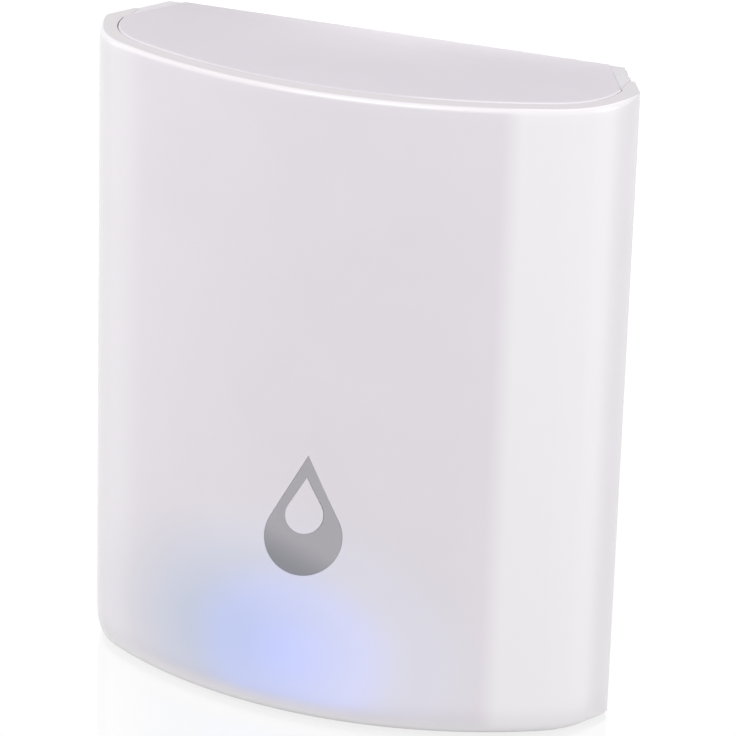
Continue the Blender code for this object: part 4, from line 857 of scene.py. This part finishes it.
dress(circuit("green circuit board", (math.pi / 2, 0.0, 0.0)), "circuit_board")
dress(circuit("green probe board", (0.0, 0.0, 0.0)), "probe_board")


# Radio module and antenna
# The radio sits under a tinned steel can that is clipped over its own small board. The antenna
# is a strip of gilt metal, stamped in the shape of an F on its side.
TIN = (0.64, 0.64, 0.65)

dress(metal("tinned can", TIN, 0.34, 0.0012, 0.000008, eased=0.0002), "radio_module")
dress(metal("gilt strip", GILT, 0.28, 0.0003, 0.000002, (6.0, 1.0, 1.0)), "antenna")


# Small parts on the boards
# A black epoxy chip, a coil in grey ferrite, an ochre epoxy capacitor with a dark band at one
# end, a round black sounder and the black header that joins the two boards.
EPOXY = (0.022, 0.022, 0.024)
FERRITE = (0.085, 0.085, 0.092)
OCHRE = (0.56, 0.34, 0.07)
CAPACITOR_BAND = (0.16, 0.08, 0.02)
SOUNDER_BLACK = (0.030, 0.030, 0.032)
HEADER_BLACK = (0.034, 0.034, 0.034)

dress(moulded("black epoxy", EPOXY, 0.55, 0.00012, 0.000006, 0.0001), "main_chip")
dress(moulded("grey ferrite", FERRITE, 0.66, 0.00025, 0.00001, 0.0001), "power_coil")
dress(moulded("black sounder case", SOUNDER_BLACK, 0.48, 0.0002, 0.000004, 0.00015), "sounder")
dress(moulded("black header", HEADER_BLACK, 0.55, 0.0002, 0.000004, 0.0001), "board_header")

paint, tree = new_paint("ochre epoxy")
low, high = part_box("supply_capacitor")
here = node(tree, "ShaderNodeTexCoord").outputs["Object"]
along = node(tree, "ShaderNodeSeparateXYZ", {0: here}).outputs["X"]
share = rise(tree, along, (low.x, high.x), blend="LINEAR")
band = ramp(tree, share, [(0.20, 1.0), (0.22, 0.0)], "LINEAR")
surface(tree, {
    "Base Color": mixed(tree, band, mottled(tree, OCHRE, 0.06, 0.001), CAPACITOR_BAND),
    "Roughness": 0.48,
    "Normal": relief(tree, clouds(tree, 0.00015), 0.000005, 0.0001),
})
dress(paint, "supply_capacitor")


# Cells
# Two plain AAA cells side by side, one upside down: a nickel-plated steel can with a printed
# dark jacket, bare at both ends, and a lighter ring under the shoulder.
JACKET = (0.060, 0.085, 0.105)
JACKET_RING = (0.42, 0.44, 0.46)
CAN = (0.68, 0.67, 0.64)


def cell(name, upside_down):
    """The finish of one cell, from the end that is its foot to its shoulder."""
    low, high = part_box(name)
    paint, tree = new_paint(name.replace("_", " ") + " jacket")
    here = node(tree, "ShaderNodeTexCoord").outputs["Object"]
    height = node(tree, "ShaderNodeSeparateXYZ", {0: here}).outputs["Z"]
    ends = (high.z, low.z) if upside_down else (low.z, high.z)
    share = rise(tree, height, ends, blend="LINEAR")
    jacket = ramp(tree, share, [
        (0.0, CAN), (0.018, CAN), (0.020, JACKET), (0.80, JACKET), (0.802, JACKET_RING), (0.955, JACKET_RING),
        (0.957, CAN),
    ], "LINEAR")
    bare = ramp(tree, share, [(0.0, 1.0), (0.018, 1.0), (0.020, 0.0), (0.955, 0.0), (0.957, 1.0)], "LINEAR")
    surface(tree, {
        "Base Color": jacket,
        "Metallic": bare,
        "Roughness": ramp(tree, clouds(tree, 0.0006), [(0.3, 0.26), (0.7, 0.40)]),
        "Normal": relief(tree, clouds(tree, 0.0008), 0.000004, 0.0002),
    })
    dress(paint, name)


cell("battery_cell_1", False)
cell("battery_cell_2", True)


# Springs and contact plates
# Two coils of nickel-plated spring wire and three stamped plates that join the cells to the
# board. The plates are polished along their length by the strip mill.
NICKEL = (0.68, 0.66, 0.61)

dress(metal("nickel plated wire", NICKEL, 0.26, 0.00015, 0.000001),
      "contact_spring_lower", "contact_spring_upper")
dress(metal("nickel plated strip", NICKEL, 0.30, 0.0001, 0.000002, (10.0, 1.0, 1.0)),
      "contact_plate_negative", "contact_plate_positive", "contact_plate_bridge")
